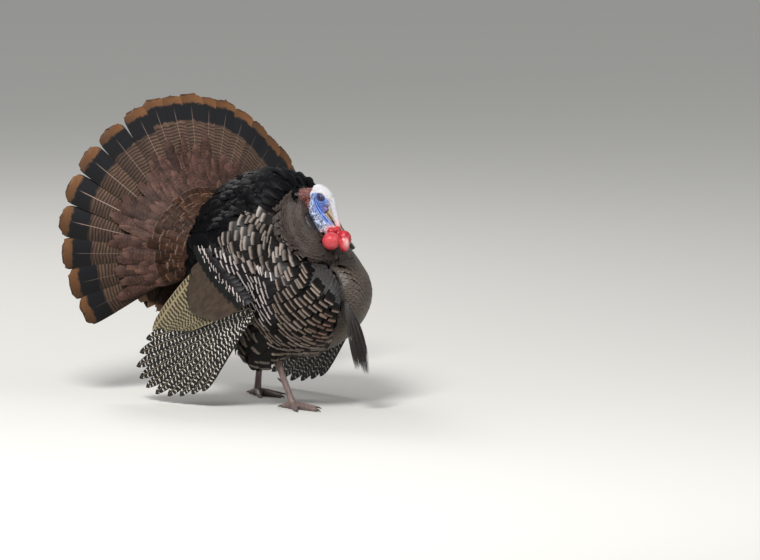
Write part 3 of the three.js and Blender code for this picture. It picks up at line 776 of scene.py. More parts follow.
def sculptHead(mesh):
    look = headLook
    points, normals = meshArrays(mesh)
    near = np.linalg.norm(points - headPlace, axis=1) < look["reach"]
    p, n = points[near], normals[near]
    f, c, r, side, eye, fold, wattle, onSnood, nape, white = headZones(p)
    bare = (1 - wattle) * (1 - onSnood)
    sideways = smooth(0.006, 0.012, side)
    rise = np.zeros(len(p))
    # the socket, its rim and a fine fold round it
    rise -= 0.0022 * np.exp(-((eye - 0.0092) / 0.0022) ** 2) * sideways
    rise += 0.0011 * np.exp(-((eye - 0.0130) / 0.0018) ** 2) * sideways
    rise -= 0.0006 * np.exp(-((eye - 0.0158) / 0.0012) ** 2) * sideways * smooth(0.012, 0.0, c)
    # long folds of the cheek and jaw
    wander = foldWander(p)
    onCheek = smooth(0.011, 0.006, fold) * smooth(-0.016, -0.010, fold) * smooth(0.010, 0.014, eye) * bare
    rise += look["foldHeight"] * rings(fold + wander, look["foldPitch"]) * onCheek * sideways
    # the throat: rounded wrinkles across and along it
    onThroat = smooth(0.000, -0.006, fold) * bare * (1 - nape)
    wrinkle = fieldOf(p, look["wrinkleSize"], 4.0)
    rise += (look["wrinkleHeight"] * (np.abs(wrinkle) - 0.25) * 1.6
             + look["ridgeHeight"] * (np.minimum(throatCells(p), 0.5) - 0.3)) * onThroat
    # warts on the nape, small pores on the crown
    rise += look["wartHeight"] * (cellsOf(p, look["wartSize"]) - 0.45) * nape * bare
    pores = look["poreHeight"] * fieldOf(p, look["poreSize"], 9.0)
    rise += (pores + 0.0006 * fieldOf(p, 0.0065, 5.0)) * white
    # the snood has rings, and the wattles bulge
    ringed = look["ringHeight"] * rings(f + 0.5 * wander, look["ringPitch"])
    rise += ringed * onSnood * smooth(0.018, 0.030, f)
    bulges = look["wattleHeight"] * fieldOf(p, look["wattleSize"], 2.0)
    rise += (bulges + 0.0005 * fieldOf(p, 0.0038, 6.0)) * wattle
    # the skin inside the opening of the lids goes behind the eyeball
    opening = np.hypot(f / eyePlan["openForward"], c / eyePlan["openUp"])
    inside = smooth(1.18, 1.02, opening) * (side > 0.008)
    inward = -np.sign(r)[:, None] * headRight
    points[near] = p + n * rise[:, None] + inward * (inside * np.maximum(side - 0.0165, 0))[:, None]
    setPoints(mesh, points)


sculptHead(headMesh)

legShapes = {
    "right": {
        "sign": -1, "thigh": (-0.086, 0.008, 0.194), "heel": (-0.072, -0.008, 0.158),
        "foot": (-0.070, -0.082, 0.012)},
    "left": {
        "sign": 1, "thigh": (0.086, 0.128, 0.198), "heel": (0.066, 0.172, 0.162),
        "foot": (0.062, 0.184, 0.012)},
    "widths": (0.017, 0.0105, 0.0078, 0.0078, 0.010), "depths": (0.021, 0.0125, 0.0098, 0.009, 0.011),
    "ball": (0.0145, 0.0155, 0.0105),
    "toeWidths": (0.0088, 0.0078, 0.0068, 0.0042), "toeDepths": (0.0098, 0.0088, 0.0067, 0.0046),
}
# each toe: its length and its angle outwards in degrees
toeLengths = {"inner": (0.060, -38), "middle": (0.088, 0), "outer": (0.062, 36), "hind": (0.034, 172)}


def legPieces(leg):
    heel, foot = np.array(leg["heel"]), np.array(leg["foot"])
    path = [mix(heel, leg["thigh"], 0.55)] + [mix(heel, foot, t) for t in (0, 0.3, 0.75, 1)]
    pieces = [tubePiece(path, legShapes["widths"], legShapes["depths"], acrossAxis, 60, 28),
              ballPiece((foot[0], foot[1], 0.009), legShapes["ball"])]
    for length, angle in toeLengths.values():
        turn = math.radians(-angle * leg["sign"])
        out = np.array((-math.sin(turn), -math.cos(turn), 0))
        side = np.array((-out[1], out[0], 0))
        spots = [np.array((foot[0], foot[1], 0)) + out * length * t + (0, 0, h)
                 for t, h in ((0, 0.0085), (0.33, 0.0092), (0.66, 0.0068), (1.02, 0.0046))]
        pieces.append(tubePiece(spots, legShapes["toeWidths"], legShapes["toeDepths"], side))
    return pieces


legMeshes = []
for side in sides:
    mesh = voxelled(joinedMesh("leg", legPieces(legShapes[side])), skinLook["legVoxel"])
    legMeshes.append(softened(mesh, 3))
print("leg skin", [len(m.vertices) for m in legMeshes])


def unionOf(first, *others):
    obj = newObject("skin_work", first)
    helpers = []
    for mesh in others:
        helper = newObject("helper", mesh)
        helpers.append(helper)
        modifier = obj.modifiers.new("union", "BOOLEAN")
        modifier.operation = "UNION"
        modifier.solver = "MANIFOLD"
        modifier.object = helper
    mesh = applied(obj)
    for helper in helpers:
        bpy.data.objects.remove(helper)
    return mesh


skinMesh = unionOf(bodyMesh, headMesh, *legMeshes)
skinSpots = meshArrays(skinMesh)[0]
skinSpots[:, 2] = np.maximum(skinSpots[:, 2], 0.0)
setPoints(skinMesh, skinSpots)
print("skin", len(skinMesh.vertices), "points")


def treeOf(mesh):
    faces = [tuple(p.vertices) for p in mesh.polygons]
    return BVHTree.FromPolygons([tuple(p) for p in meshArrays(mesh)[0]], faces)


bodyTree = treeOf(bodyMesh)
skinTree = treeOf(skinMesh)


def nearestOn(tree, points):
    spots, normals = np.zeros_like(points), np.zeros_like(points)
    for i, p in enumerate(points):
        spots[i], normals[i] = tree.find_nearest(Vector(p))[:2]
    return spots, normals


def castOn(tree, centres, directions, reach=0.7):
    # the outermost point of the skin in each direction from its centre
    spots = np.full(centres.shape, np.nan)
    for i, (c, d) in enumerate(zip(centres, directions)):
        spot = tree.ray_cast(Vector(c + d * reach), Vector(-d), reach)[0]
        if spot is not None:
            spots[i] = spot
    return spots


# feathers lie away from the hollow of the crop, over the sides and back to the rump
trunkMiddle = np.array((0, 0.05, 0.345))
cropAxis = unit(np.array((0, -0.9652, 0.2614)))
rumpMiddle = np.array((0, 0.318, 0.370))
frontAxis = np.cross(acrossAxis, cropAxis)  # downwards along the front
throatSpot = fromHead(0.045, -0.02, 0.0)
# the right arm, and the lie of the feathers on it
elbow, wrist = np.array((-0.196, 0.118, 0.428)), np.array((-0.212, -0.072, 0.280))
armBack = unit((elbow - wrist) * (0, 1, 1))
armDown = np.array((0, armBack[2], -armBack[1]))
armLie = unit(armBack * 0.50 + armDown * 0.87)


def armShare(p):
    # 1 on the pad over the arm, 0 away from it
    x, y, z = p.T
    below = (p - wrist) @ armDown
    return (smooth(0.10, 0.13, np.abs(x)) * smooth(-0.135, -0.11, y) * smooth(0.20, 0.16, y)
            * smooth(0.01, -0.005, z - scapularEdge(y)) * smooth(0.045, 0.038, below))


def lieAt(points):
    p = np.asarray(points)
    out = unit(p - trunkMiddle)
    lie = unit((out @ cropAxis)[:, None] * out - cropAxis)
    # on the neck the feathers run outwards from the throat
    onNeck = smooth(0.120, 0.100, np.linalg.norm(p - ruffMiddle, axis=1))[:, None]
    neckLie = unit(unit(p - throatSpot) - (0, 0, 0.2))
    lie = mix(lie, neckLie, onNeck)
    # on the arm they point down and back
    lie = mix(lie, armLie, armShare(p)[:, None])
    # on the thighs and shanks they hang
    low = smooth(0.20, 0.15, p[:, 2])[:, None] * smooth(0.14, 0.11, np.abs(p[:, 0]))[:, None]
    return unit(mix(lie, (0, 0.25, -1), low))


def layFeathers(roots, lengths, stations, depth, tree=None, lie=lieAt, flat=0.25, jitter=0.06, lift=0.15):
    # spines over the skin that rise from it to the outside of the coat
    tree = tree or bodyTree
    count = len(roots)
    stations = np.concatenate(([0.0], stations, [1.0]))
    lengths = np.broadcast_to(lengths, (count,))
    depth = np.broadcast_to(depth, (count,)) * np.clip(chance.normal(1, lift, count), 0.6, 1.5)
    spots, normals = nearestOn(tree, roots)
    spine = np.zeros((count, len(stations), 3))
    side, up = np.zeros_like(spine), np.zeros_like(spine)
    swing = chance.normal(0, jitter, count)[:, None]
    for i, t in enumerate(stations):
        if i:
            step = (t - stations[i - 1]) * lengths
            spots, normals = nearestOn(tree, spots + heading * step[:, None])
        heading = lie(spots)
        heading = unit(heading - (heading * normals).sum(1)[:, None] * normals)
        beside = np.cross(heading, normals)
        heading = unit(heading + beside * swing)
        side[:, i], up[:, i] = unit(np.cross(heading, normals)), normals
        height = depth * (flat + (1 - flat) * t)
        if i == 0:
            height = depth * 0
        spine[:, i] = spots + normals * height[:, None]
    return spine, side, up


def keptRoots(found, patches):
    # rows of roots as one list, without those that met no skin
    roots, patches = np.concatenate(found), np.concatenate(patches)
    good = ~np.isnan(roots[:, 0])
    return roots[good], patches[good]


def latticeAbout(middle, axis, startAxis, rowPitch, columnPitch, fromAngle, toAngle, radius, tree=None):
    # rings of roots about an axis through the middle; radius is the usual distance to the skin
    tree = tree or bodyTree
    third = np.cross(axis, startAxis)
    rows = int((toAngle - fromAngle) * radius / rowPitch)
    found, patches = [], []
    for row in range(rows):
        alpha = fromAngle + (row + 0.5) * (toAngle - fromAngle) / rows
        columns = max(6, int(2 * math.pi * radius * math.sin(alpha) / columnPitch))
        beta = (np.arange(columns) + 0.5 * (row % 2)) / columns * 2 * math.pi
        patches.append(np.stack((np.arange(columns) / columns, np.full(columns, row / rows),
                                 np.full(columns, 0.94 / columns), np.full(columns, 0.94 / rows)), -1))
        a = alpha + chance.normal(0, 0.05 * rowPitch / radius, columns)
        b = beta + chance.normal(0, 0.05, columns) * 2 * math.pi / columns
        direction = (axis * np.cos(a)[:, None] + startAxis * (np.sin(a) * np.cos(b))[:, None]
                     + third * (np.sin(a) * np.sin(b))[:, None])
        found.append(castOn(tree, np.tile(middle, (columns, 1)), direction))
    return keptRoots(found, patches)


def trunkLattice(rowPitch, columnPitch, fromAngle=0.04, toAngle=3.1, radius=0.26):
    return latticeAbout(trunkMiddle, cropAxis, frontAxis, rowPitch, columnPitch, fromAngle, toAngle, radius)


def domeEdge(y):
    # height above which the black feathers of the back grow
    return np.interp(y, (-0.15, -0.04, 0.0, 0.02, 0.035, 0.08, 0.105, 0.13, 0.16, 0.30, 0.36),
                     (0.580, 0.524, 0.500, 0.470, 0.442, 0.438, 0.424, 0.400, 0.375, 0.345, 0.30))


def ruffTop(x):
    # the black of the back comes down to this height on the neck
    return 0.570 - 0.45 * np.clip(np.abs(x) - 0.022, 0, 1)


def insideFeathers(p):
    # below 0 where feathers may root: behind and below the bare face, throat and nape
    f, c = toHead(p).T[:2]
    edge = np.interp(f, (-0.060, -0.050, -0.030, 0.0, 0.030, 0.120),
                     (-0.025, -0.033, -0.044, -0.046, -0.043, -0.041))
    return np.where((f > 0.125) | (f < -0.10), -1.0, c + 0.001 - edge)


def tractOf(p):
    # the name of the tract at each place; a later rule goes over an earlier one
    x, y, z = p.T
    out = np.full(len(p), "breast", dtype="<U10")
    neck = np.linalg.norm(p - ruffMiddle, axis=1)
    rump = np.linalg.norm(p - rumpMiddle, axis=1)
    slateEdge = np.interp(z, (0.20, 0.223, 0.253, 0.298, 0.338, 0.376, 0.399, 0.44),
                          (0.03, 0.016, -0.018, -0.063, -0.077, -0.078, -0.068, -0.045))
    out[(x > 0.0) & (x < 0.16) & (y < -0.02)] = "farBreast"
    out[(x > slateEdge) & (x < 0.003) & (y < -0.10)] = "slate"
    out[(z < 0.150) & (y > 0.03) | (z < 0.135)] = "belly"
    out[(z < 0.215) & (y > -0.03) & (y < 0.15) & (np.abs(x) > 0.075)] = "flank"
    out[(z > scapularEdge(y)) & (np.abs(x) > 0.080) & (y > np.where(x > 0, -0.085, -0.135))] = "scapular"
    out[armShare(p) > 0.5] = "arm"
    out[z > domeEdge(y)] = "dome"
    out[(y > 0.16) & (z > 0.27) & (armShare(p) < 0.5)] = "dome"
    out[(rump < np.interp(z, (0.36, 0.43), (0.150, 0.112))) & (z > 0.25)] = "rump"
    out[(z < 0.27) & (y > 0.16)] = "vent"
    out[(neck < 0.115) & (z < ruffTop(x))] = "ruff"
    return out


# for each tract: the pitch of its rows and of the feathers in a row, the measures of one feather, the depth
# of the coat, and reach, the part of a feather's length at which its place is judged
tracts = {
    "breast": {
        "rows": 0.0122, "columns": 0.0235, "length": 0.052, "halfWidth": 0.0165, "depth": 0.016,
        "reach": 0.80, "shape": {**squareShape, "camber": 0.05, "roll": 0.04, "ragged": 0.03},
        "slot": "barred_feathers", "lay": {"flat": 0.12, "jitter": 0.035, "lift": 0.04},
        "look": {
            "base": "#050404", "baseB": "#0c0a09", "rough": 0.45, "gloss": 0.12, "dim": 0.65, "lit": 1.35,
            "bands": [
                band(0.0008, 0.0056, "#74685f", 0.002, 0.0010, front="#70574b"),
                band(-0.01, 0.0008, "#191411", 0.001, 0.0004),
                band(0.0070, 0.0095, "#2c201a", 0.003, 0.0015, 0.8),
            ],
            "edge": rim(0.13, "#0b0807", 0.9),
        },
    },
    "farBreast": {
        "rows": 0.0060, "columns": 0.0085, "length": 0.019, "halfWidth": 0.0060, "depth": 0.008,
        "shape": {**tuftShape, "camber": 0.05, "ragged": 0.03}, "slot": "barred_feathers",
        "lay": {"flat": 0.7, "jitter": 0.015, "lift": 0.03},
        "look": {
            "base": "#443b34", "baseB": "#4d433b", "rough": 0.45, "gloss": 0.35, "dim": 0.9, "lit": 1.1,
            "bands": [
                band(-0.01, 0.0016, "#2b2520", 0.001, 0.0006),
                band(0.0016, 0.0040, "#675b50", 0.001, 0.001, 0.7),
            ],
        },
    },
    "slate": {
        "rows": 0.0050, "columns": 0.0072, "length": 0.018, "halfWidth": 0.0052, "depth": 0.0105,
        "reach": -1.2, "shape": {**tuftShape, "camber": 0.04, "ragged": 0.02}, "slot": "barred_feathers",
        "lay": {"flat": 0.75, "jitter": 0.01, "lift": 0.02},
        "look": {
            "base": "#322f2f", "baseB": "#3a3736", "rough": 0.38, "gloss": 0.4, "dim": 0.9, "lit": 1.1,
            "bands": [
                band(-0.01, 0.0008, "#2e2c2d", 0.001, 0.0005),
                band(0.0008, 0.0030, "#504d4e", 0.001, 0.001, 0.5),
            ],
        },
    },
    "scapular": {
        "rows": 0.0175, "columns": 0.0300, "length": 0.056, "halfWidth": 0.0185, "depth": 0.016,
        "reach": 0.50,
        "shape": {**squareShape, "camber": 0.06, "roll": 0.05, "ragged": 0.04, "sweep": 0.08},
        "slot": "wing_feathers", "lay": {"flat": 0.12, "jitter": 0.035, "lift": 0.05},
        "look": {
            "base": "#0b0908", "baseB": "#161310", "rough": 0.42, "gloss": 0.2, "dim": 0.6, "lit": 1.3,
            "bands": [
                band(0.0012, 0.0090, "#544b45", 0.003, 0.0020),
                # a lighter core in the middle of the bar: painted sheen
                band(0.0020, 0.0062, "#877c74", 0.002, 0.0018),
                band(-0.01, 0.0014, "#14110f", 0.001, 0.0005),
            ],
            "edge": rim(0.14, "#0d0b0a", 0.8),
        },
    },
    "arm": {
        "rows": 0.0112, "columns": 0.0225, "length": 0.040, "halfWidth": 0.0140, "depth": 0.014,
        "reach": 0.15, "shape": {**squareShape, "camber": 0.05, "roll": 0.06, "ragged": 0.04},
        "slot": "wing_feathers", "lay": {"flat": 0.15, "jitter": 0.05, "lift": 0.06},
        "look": {
            "base": "#0c0a0b", "baseB": "#191418", "rough": 0.42, "gloss": 0.18, "dim": 0.6, "lit": 1.35,
            "bands": [
                band(0.0010, 0.0046, "#aaa09c", 0.0018, 0.0010),
                band(-0.01, 0.0012, "#141113", 0.001, 0.0004),
            ],
            "edge": rim(0.16, "#0d0a0c", 0.9),
        },
    },
    "dome": {
        "rows": 0.0150, "columns": 0.0180, "length": 0.052, "halfWidth": 0.0115, "depth": 0.014,
        "shape": {**squareShape, "camber": 0.20, "roll": 0.22, "ragged": 0.12}, "slot": "dark_feathers",
        "lay": {"flat": 0.15, "jitter": 0.10, "lift": 0.2},
        "look": {
            "base": "#020203", "baseB": "#050507", "rough": 0.46, "gloss": 0.08, "dim": 0.5, "lit": 1.5,
            # a faint lighter tip: painted sheen on the feather edges
            "bands": [band(0.001, 0.004, "#101115", 0.002, strength=0.5)],
        },
    },
    "rump": {
        "rows": 0.0165, "columns": 0.023, "length": 0.050, "halfWidth": 0.0150, "depth": 0.016,
        "shape": {**roundShape, "camber": 0.24, "roll": 0.2, "ragged": 0.06}, "slot": "covert_feathers",
        "look": {
            "base": "#2f1f17", "baseB": "#432c20", "rough": 0.50, "gloss": 0.10, "dim": 0.5, "lit": 1.3,
            "bands": [
                band(0.0010, 0.0040, "#776254", 0.003, 0.0020, 0.7),
                band(-0.01, 0.0010, "#170e0a", 0.001, 0.0005),
            ],
        },
    },
    "flank": {
        "rows": 0.0130, "columns": 0.0245, "length": 0.056, "halfWidth": 0.0165, "depth": 0.026,
        "reach": 0.80, "shape": {**squareShape, "camber": 0.08, "roll": 0.06, "ragged": 0.05},
        "slot": "barred_feathers", "lay": {"flat": 0.15, "jitter": 0.05, "lift": 0.10},
        "look": {
            "base": "#070606", "baseB": "#100d0b", "rough": 0.5, "gloss": 0.15, "dim": 0.65, "lit": 1.3,
            "bands": [
                band(0.0008, 0.0060, "#5f564e", 0.002, 0.0012),
                band(-0.01, 0.0008, "#15110e", 0.001, 0.0004),
            ],
            "edge": rim(0.25, "#090706", 0.9),
        },
    },
    "belly": {
        "rows": 0.017, "columns": 0.020, "length": 0.056, "halfWidth": 0.012, "depth": 0.014,
        "shape": tuftShape, "slot": "dark_feathers",
        "look": {
            "base": "#1b1714", "baseB": "#2b241e", "rough": 0.65, "gloss": 0.3,
            "bands": [band(-0.01, 0.004, "#4a3d31", 0.004, strength=0.6)],
        },
    },
    "vent": {
        "rows": 0.020, "columns": 0.024, "length": 0.060, "halfWidth": 0.016, "depth": 0.014,
        "shape": roundShape, "slot": "covert_feathers",
        "look": {
            "base": "#3b2a21", "baseB": "#4d382b", "rough": 0.55, "gloss": 0.35,
            "bars": {
                "pitch": 0.008, "width": 0.45, "colour": "#1d1511", "start": 0.004, "end": 0.05,
                "wave": 0.4, "strength": 0.6,
            },
            "bands": [band(-0.01, 0.005, "#a98a6c", 0.003, 0.0015)],
        },
    },
}


def armLattice(rowPitch, columnPitch):
    # rows square to the lie, from the line of the arm up over its pad, on both sides
    found, patches = [], []
    rows, columns = int(0.24 / rowPitch), int(0.30 / columnPitch)
    for sign in (-1, 1):
        for row in range(rows):
            s = (np.arange(columns) + 0.5 * (row % 2)) * columnPitch - 0.03
            s = s + chance.normal(0, 0.06, columns) * columnPitch
            t = 0.062 - row * rowPitch + chance.normal(0, 0.03, columns) * rowPitch
            across = np.array((0, -armLie[2], armLie[1]))
            spot = wrist * 0.45 + elbow * 0.55 + across * (s - 0.12)[:, None] + armLie * t[:, None]
            spot[:, 0] = 0
            found.append(castOn(bodyTree, spot, np.tile((sign * 1.0, 0, 0), (columns, 1))))
            patches.append(np.stack((np.arange(columns) / columns * 0.5 + 0.25 * (1 + sign),
                                     np.full(columns, row / rows), np.full(columns, 0.46 / columns),
                                     np.full(columns, 0.94 / rows)), -1))
    return keptRoots(found, patches)


for tractName, tract in tracts.items():
    lattice = armLattice if tractName == "arm" else trunkLattice
    roots, patches = lattice(tract["rows"], tract["columns"])
    shown = roots + lieAt(roots) * tract["length"] * tract.get("reach", 0.55)
    fromRuff = np.linalg.norm(roots - ruffMiddle, axis=1)
    keep = (tractOf(shown) == tractName) & (insideFeathers(roots) < 0)
    keep &= (fromRuff > 0.093) | (roots[:, 2] > ruffTop(roots[:, 0]) - 0.012)
    roots, patches = roots[keep], patches[keep]
    size = chance.normal(1, 0.05, len(roots))
    sizes = (tract["halfWidth"] * size, tract["length"] * size)
    spines = layFeathers(roots, sizes[1], tract["shape"]["rows"], tract["depth"], **tract.get("lay", {}))
    material = plumeMaterial(f"{tractName} feathers", tract["look"])
    # the lower front of the breast is coppery
    copper = smooth(0.070, 0.020, np.linalg.norm(roots - (-0.03, -0.20, 0.265), axis=1))
    makeFeathers(f"coat_{tractName}", spines, sizes, {**tract["shape"], "turn": 0.05},
                 randomPlume(len(roots), copper), patches, material, tract["slot"])


ruffPlan = {
    "rows": 0.0047, "columns": 0.0105, "length": 0.022, "halfWidth": 0.0078, "depth": 0.0095,
    "shape": {**tuftShape, "turn": 0.04, "camber": 0.06, "ragged": 0.03},
    "lay": {"flat": 0.5, "jitter": 0.02, "lift": 0.04},
    "look": {
        "base": "#2f2825", "baseB": "#38302c", "rough": 0.48, "gloss": 0.15, "dim": 0.9, "lit": 1.1,
        "barbDark": 0.92,
        "bands": [
            band(-0.01, 0.0012, "#1f1a18", 0.001, 0.0005),
            band(0.0012, 0.0032, "#5e524a", 0.001, 0.001, 0.5),
        ],
    },
}


def makeRuff():
    # rings about the throat
    plan = ruffPlan
    roots, patches = latticeAbout(ruffMiddle, unit(throatSpot - ruffMiddle), headRight, plan["rows"],
                                  plan["columns"], 0.15, 2.9, 0.085, skinTree)
    away = np.linalg.norm(roots - ruffMiddle, axis=1)
    reach = np.interp(roots[:, 2], (0.42, 0.45, 0.50, 0.53), (0.101, 0.103, 0.107, 0.118))
    keep = (away < reach) & (insideFeathers(roots) < 0) & (roots[:, 2] < ruffTop(roots[:, 0]) - 0.010)
    roots, patches, away = roots[keep], patches[keep], away[keep]
    size = chance.normal(1, 0.05, len(roots))
    depth = plan["depth"] + 0.006 * smooth(0.075, 0.095, away) * smooth(0.50, 0.46, roots[:, 2])
    sizes = (plan["halfWidth"] * size, plan["length"] * size)
    spines = layFeathers(roots, sizes[1], plan["shape"]["rows"], depth, skinTree, **plan["lay"])
    makeFeathers("coat_ruff", spines, sizes, plan["shape"], randomPlume(len(roots)), patches,
                 plumeMaterial("ruff feathers", plan["look"]), "ruff_feathers")


def makeNape():
    # short black feathers round the upper side of the bare nape
    middle, axis = np.array((-0.006, -0.070, 0.548)), unit(np.array((0, 0.9, -0.2)))
    roots, patches = latticeAbout(middle, axis, headRight, 0.0065, 0.010, 0.2, 2.6, 0.034, skinTree)
    away = np.linalg.norm(roots - headPlace, axis=1)
    keep = (insideFeathers(roots) < 0) & (roots[:, 2] > 0.556) & (away < 0.085)
    roots, patches = roots[keep], patches[keep]

    def lieBack(points):
        return unit(unit(points - headPlace) + np.array((0, 0.3, -0.1)))

    spines = layFeathers(roots, 0.026, tuftShape["rows"], 0.007, skinTree, lieBack, 0.5, 0.08)
    makeFeathers("coat_nape", spines, (0.0068, 0.026), tuftShape, randomPlume(len(roots)), patches,
                 bpy.data.materials["dome feathers"], "dark_feathers")
    print("nape", len(roots))


makeRuff()
makeNape()


# the tail fan stands on its own cone, turned in degrees; its feathers are counted from the right
fanPlan = {
    "yaw": -15, "lean": 3.3, "roll": 9.7, "cone": 16.7, "feathers": 18, "middle": 7, "middleAngle": 29.2,
    "nearStep": 13.55, "farStep": 8.12, "shortening": 0.084, "start": 0.05, "length": 0.432,
    "halfWidth": 0.0425, "layer": 0.0009,
    "look": {
        "base": "#5a4338", "baseB": "#67503f", "rough": 0.5, "gloss": 0.25, "dim": 0.75, "lit": 1.15,
        "bars": {
            "pitch": 0.0088, "width": 0.42, "colour": "#21160f", "start": 0.076, "end": 0.34, "wave": 0.16,
            "slant": -0.45, "strength": 0.8,
        },
        "bands": [
            band(0.024, 0.076, "#0d0e13", 0.010, 0.004),
            band(-0.02, 0.025, "#704a2b", 0.018, 0.004),
            band(-0.02, 0.0035, "#3d2a1c", 0.006, 0.002, 0.7),
        ],
        # overlapShade: painted shade over the overlapped half of each vane
        "overlapShade": 0.40, "uneven": (1.08, 0.93), "edge": rim(0.13, "#0d0907", 0.9),
        # the shaft's pale colour is its own; on the feathers picked by the zone it is stronger, a painted
        # highlight
        "shaft": {"width": 0.026, "colour": "#b89a8c", "start": 0.03, "strength": 0.8, "highlightByZone": True},
    },
    "covertLook": {
        "base": "#3d2a24", "baseB": "#553c34", "rough": 0.6, "gloss": 0.18, "dim": 0.6, "lit": 1.3,
        "bars": {
            "pitch": 0.0085, "width": 0.4, "colour": "#24170f", "start": 0.02, "end": 0.14, "wave": 0.5,
            "strength": 0.5,
        },
        "bands": [band(-0.01, 0.014, "#684b3f", 0.016, 0.009, 0.35)], "edge": rim(0.35, "#1c120e", 0.4),
    },
    "scaleLook": {
        "base": "#2f1f17", "baseB": "#452d20", "rough": 0.50, "gloss": 0.10, "dim": 0.5, "lit": 1.35,
        "bands": [
            band(0.0010, 0.0040, "#7b6557", 0.003, 0.0020, 0.7),
            band(-0.01, 0.0010, "#170e0a", 0.001, 0.0005),
        ],
        "edge": rim(0.30, "#1d120c", 0.7),
    },
    "underLook": {
        "base": "#2c1f18", "baseB": "#3d2c23", "rough": 0.6, "gloss": 0.2,
        "bars": {
            "pitch": 0.009, "width": 0.45, "colour": "#150e0a", "start": 0.012, "end": 0.12, "wave": 0.5,
            "strength": 0.7,
        },
        "bands": [band(-0.01, 0.011, "#6e5440", 0.006, 0.004)],
    },
}


def turnAbout(axis, degrees):
    c, s = math.cos(math.radians(degrees)), math.sin(math.radians(degrees))
    i, j = [k for k in range(3) if k != axis]
    matrix = np.eye(3)
    matrix[i, i] = matrix[j, j] = c
    matrix[i, j], matrix[j, i] = (-s, s) if axis != 1 else (s, -s)
    return matrix


fanTurn = turnAbout(2, fanPlan["yaw"]) @ turnAbout(0, -fanPlan["lean"]) @ turnAbout(1, fanPlan["roll"])
fanRight, fanUp, fanBack = fanTurn @ (-1, 0, 0), fanTurn @ (0, 0, 1), fanTurn @ (0, 1, 0)
coneCos, coneSin = math.cos(math.radians(fanPlan["cone"])), math.sin(math.radians(fanPlan["cone"]))


def fanAngle(feather):
    plan = fanPlan
    return (plan["middleAngle"] + plan["nearStep"] * np.maximum(0, plan["middle"] - feather)
            - plan["farStep"] * np.maximum(0, feather - plan["middle"]))


def fanPoint(feather, radius, behind):
    angle = np.radians(fanAngle(feather))
    out = fanUp * np.cos(angle)[..., None] + fanRight * np.sin(angle)[..., None]
    radius, behind = np.asarray(radius)[..., None], np.asarray(behind)[..., None]
    return (rumpMiddle + out * (radius * coneCos - behind * coneSin)
            + fanBack * (radius * coneSin + behind * coneCos))


def fanReach(feather, length):
    share = fanAngle(feather) / 90
    return length * (1 - fanPlan["shortening"] * share ** 2)


def fanSpines(feathers, startRadius, tipRadius, stations, behind, facing=1):
    # behind is a function of the radius; facing 1 shows the front of the fan, -1 the back
    stations = np.concatenate(([0.0], stations, [1.0]))
    radius = startRadius[:, None] + (tipRadius - startRadius)[:, None] * stations
    feather = np.broadcast_to(feathers[:, None], radius.shape)
    spine = fanPoint(feather, radius, behind(feather, radius))
    side = unit(fanPoint(feather + 0.05, radius, 0 * radius) - fanPoint(feather - 0.05, radius, 0 * radius))
    along = unit(np.gradient(spine, axis=1))
    side = unit(side - (side * along).sum(-1)[..., None] * along)
    up = np.cross(side, along)
    if (up[:, 0] @ -fanBack).mean() * facing < 0:
        side, up = -side, -up
    return spine, side, up


flightRows = tuple(np.linspace(0.04, 0.86, 18)) + (0.90, 0.935, 0.96, 0.975, 0.987, 0.995)
rectrixShape = {
    "rows": flightRows,
    "widths": tuple(np.interp(flightRows, (0, 0.15, 0.5, 0.8, 0.93, 0.965, 0.98, 0.99, 1),
                              (0.25, 0.42, 0.72, 0.95, 1.0, 0.95, 0.86, 0.72, 0.5))),
    "columns": (-1, -0.8, -0.55, -0.28, -0.04, 0, 0.04, 0.28, 0.55, 0.8, 1),
    "camber": 0.10, "ragged": 0.055, "sweep": 0.10, "roll": 0.03,
}
covertShape = {
    "rows": (0.12, 0.32, 0.52, 0.68, 0.80, 0.89, 0.95, 0.985),
    "widths": (0.4, 0.75, 0.95, 1.0, 0.95, 0.8, 0.6, 0.38),
    "columns": (-1, -0.6, -0.2, 0.2, 0.6, 1), "camber": 0.16, "ragged": 0.22, "sweep": 0.30, "roll": 0.10,
}


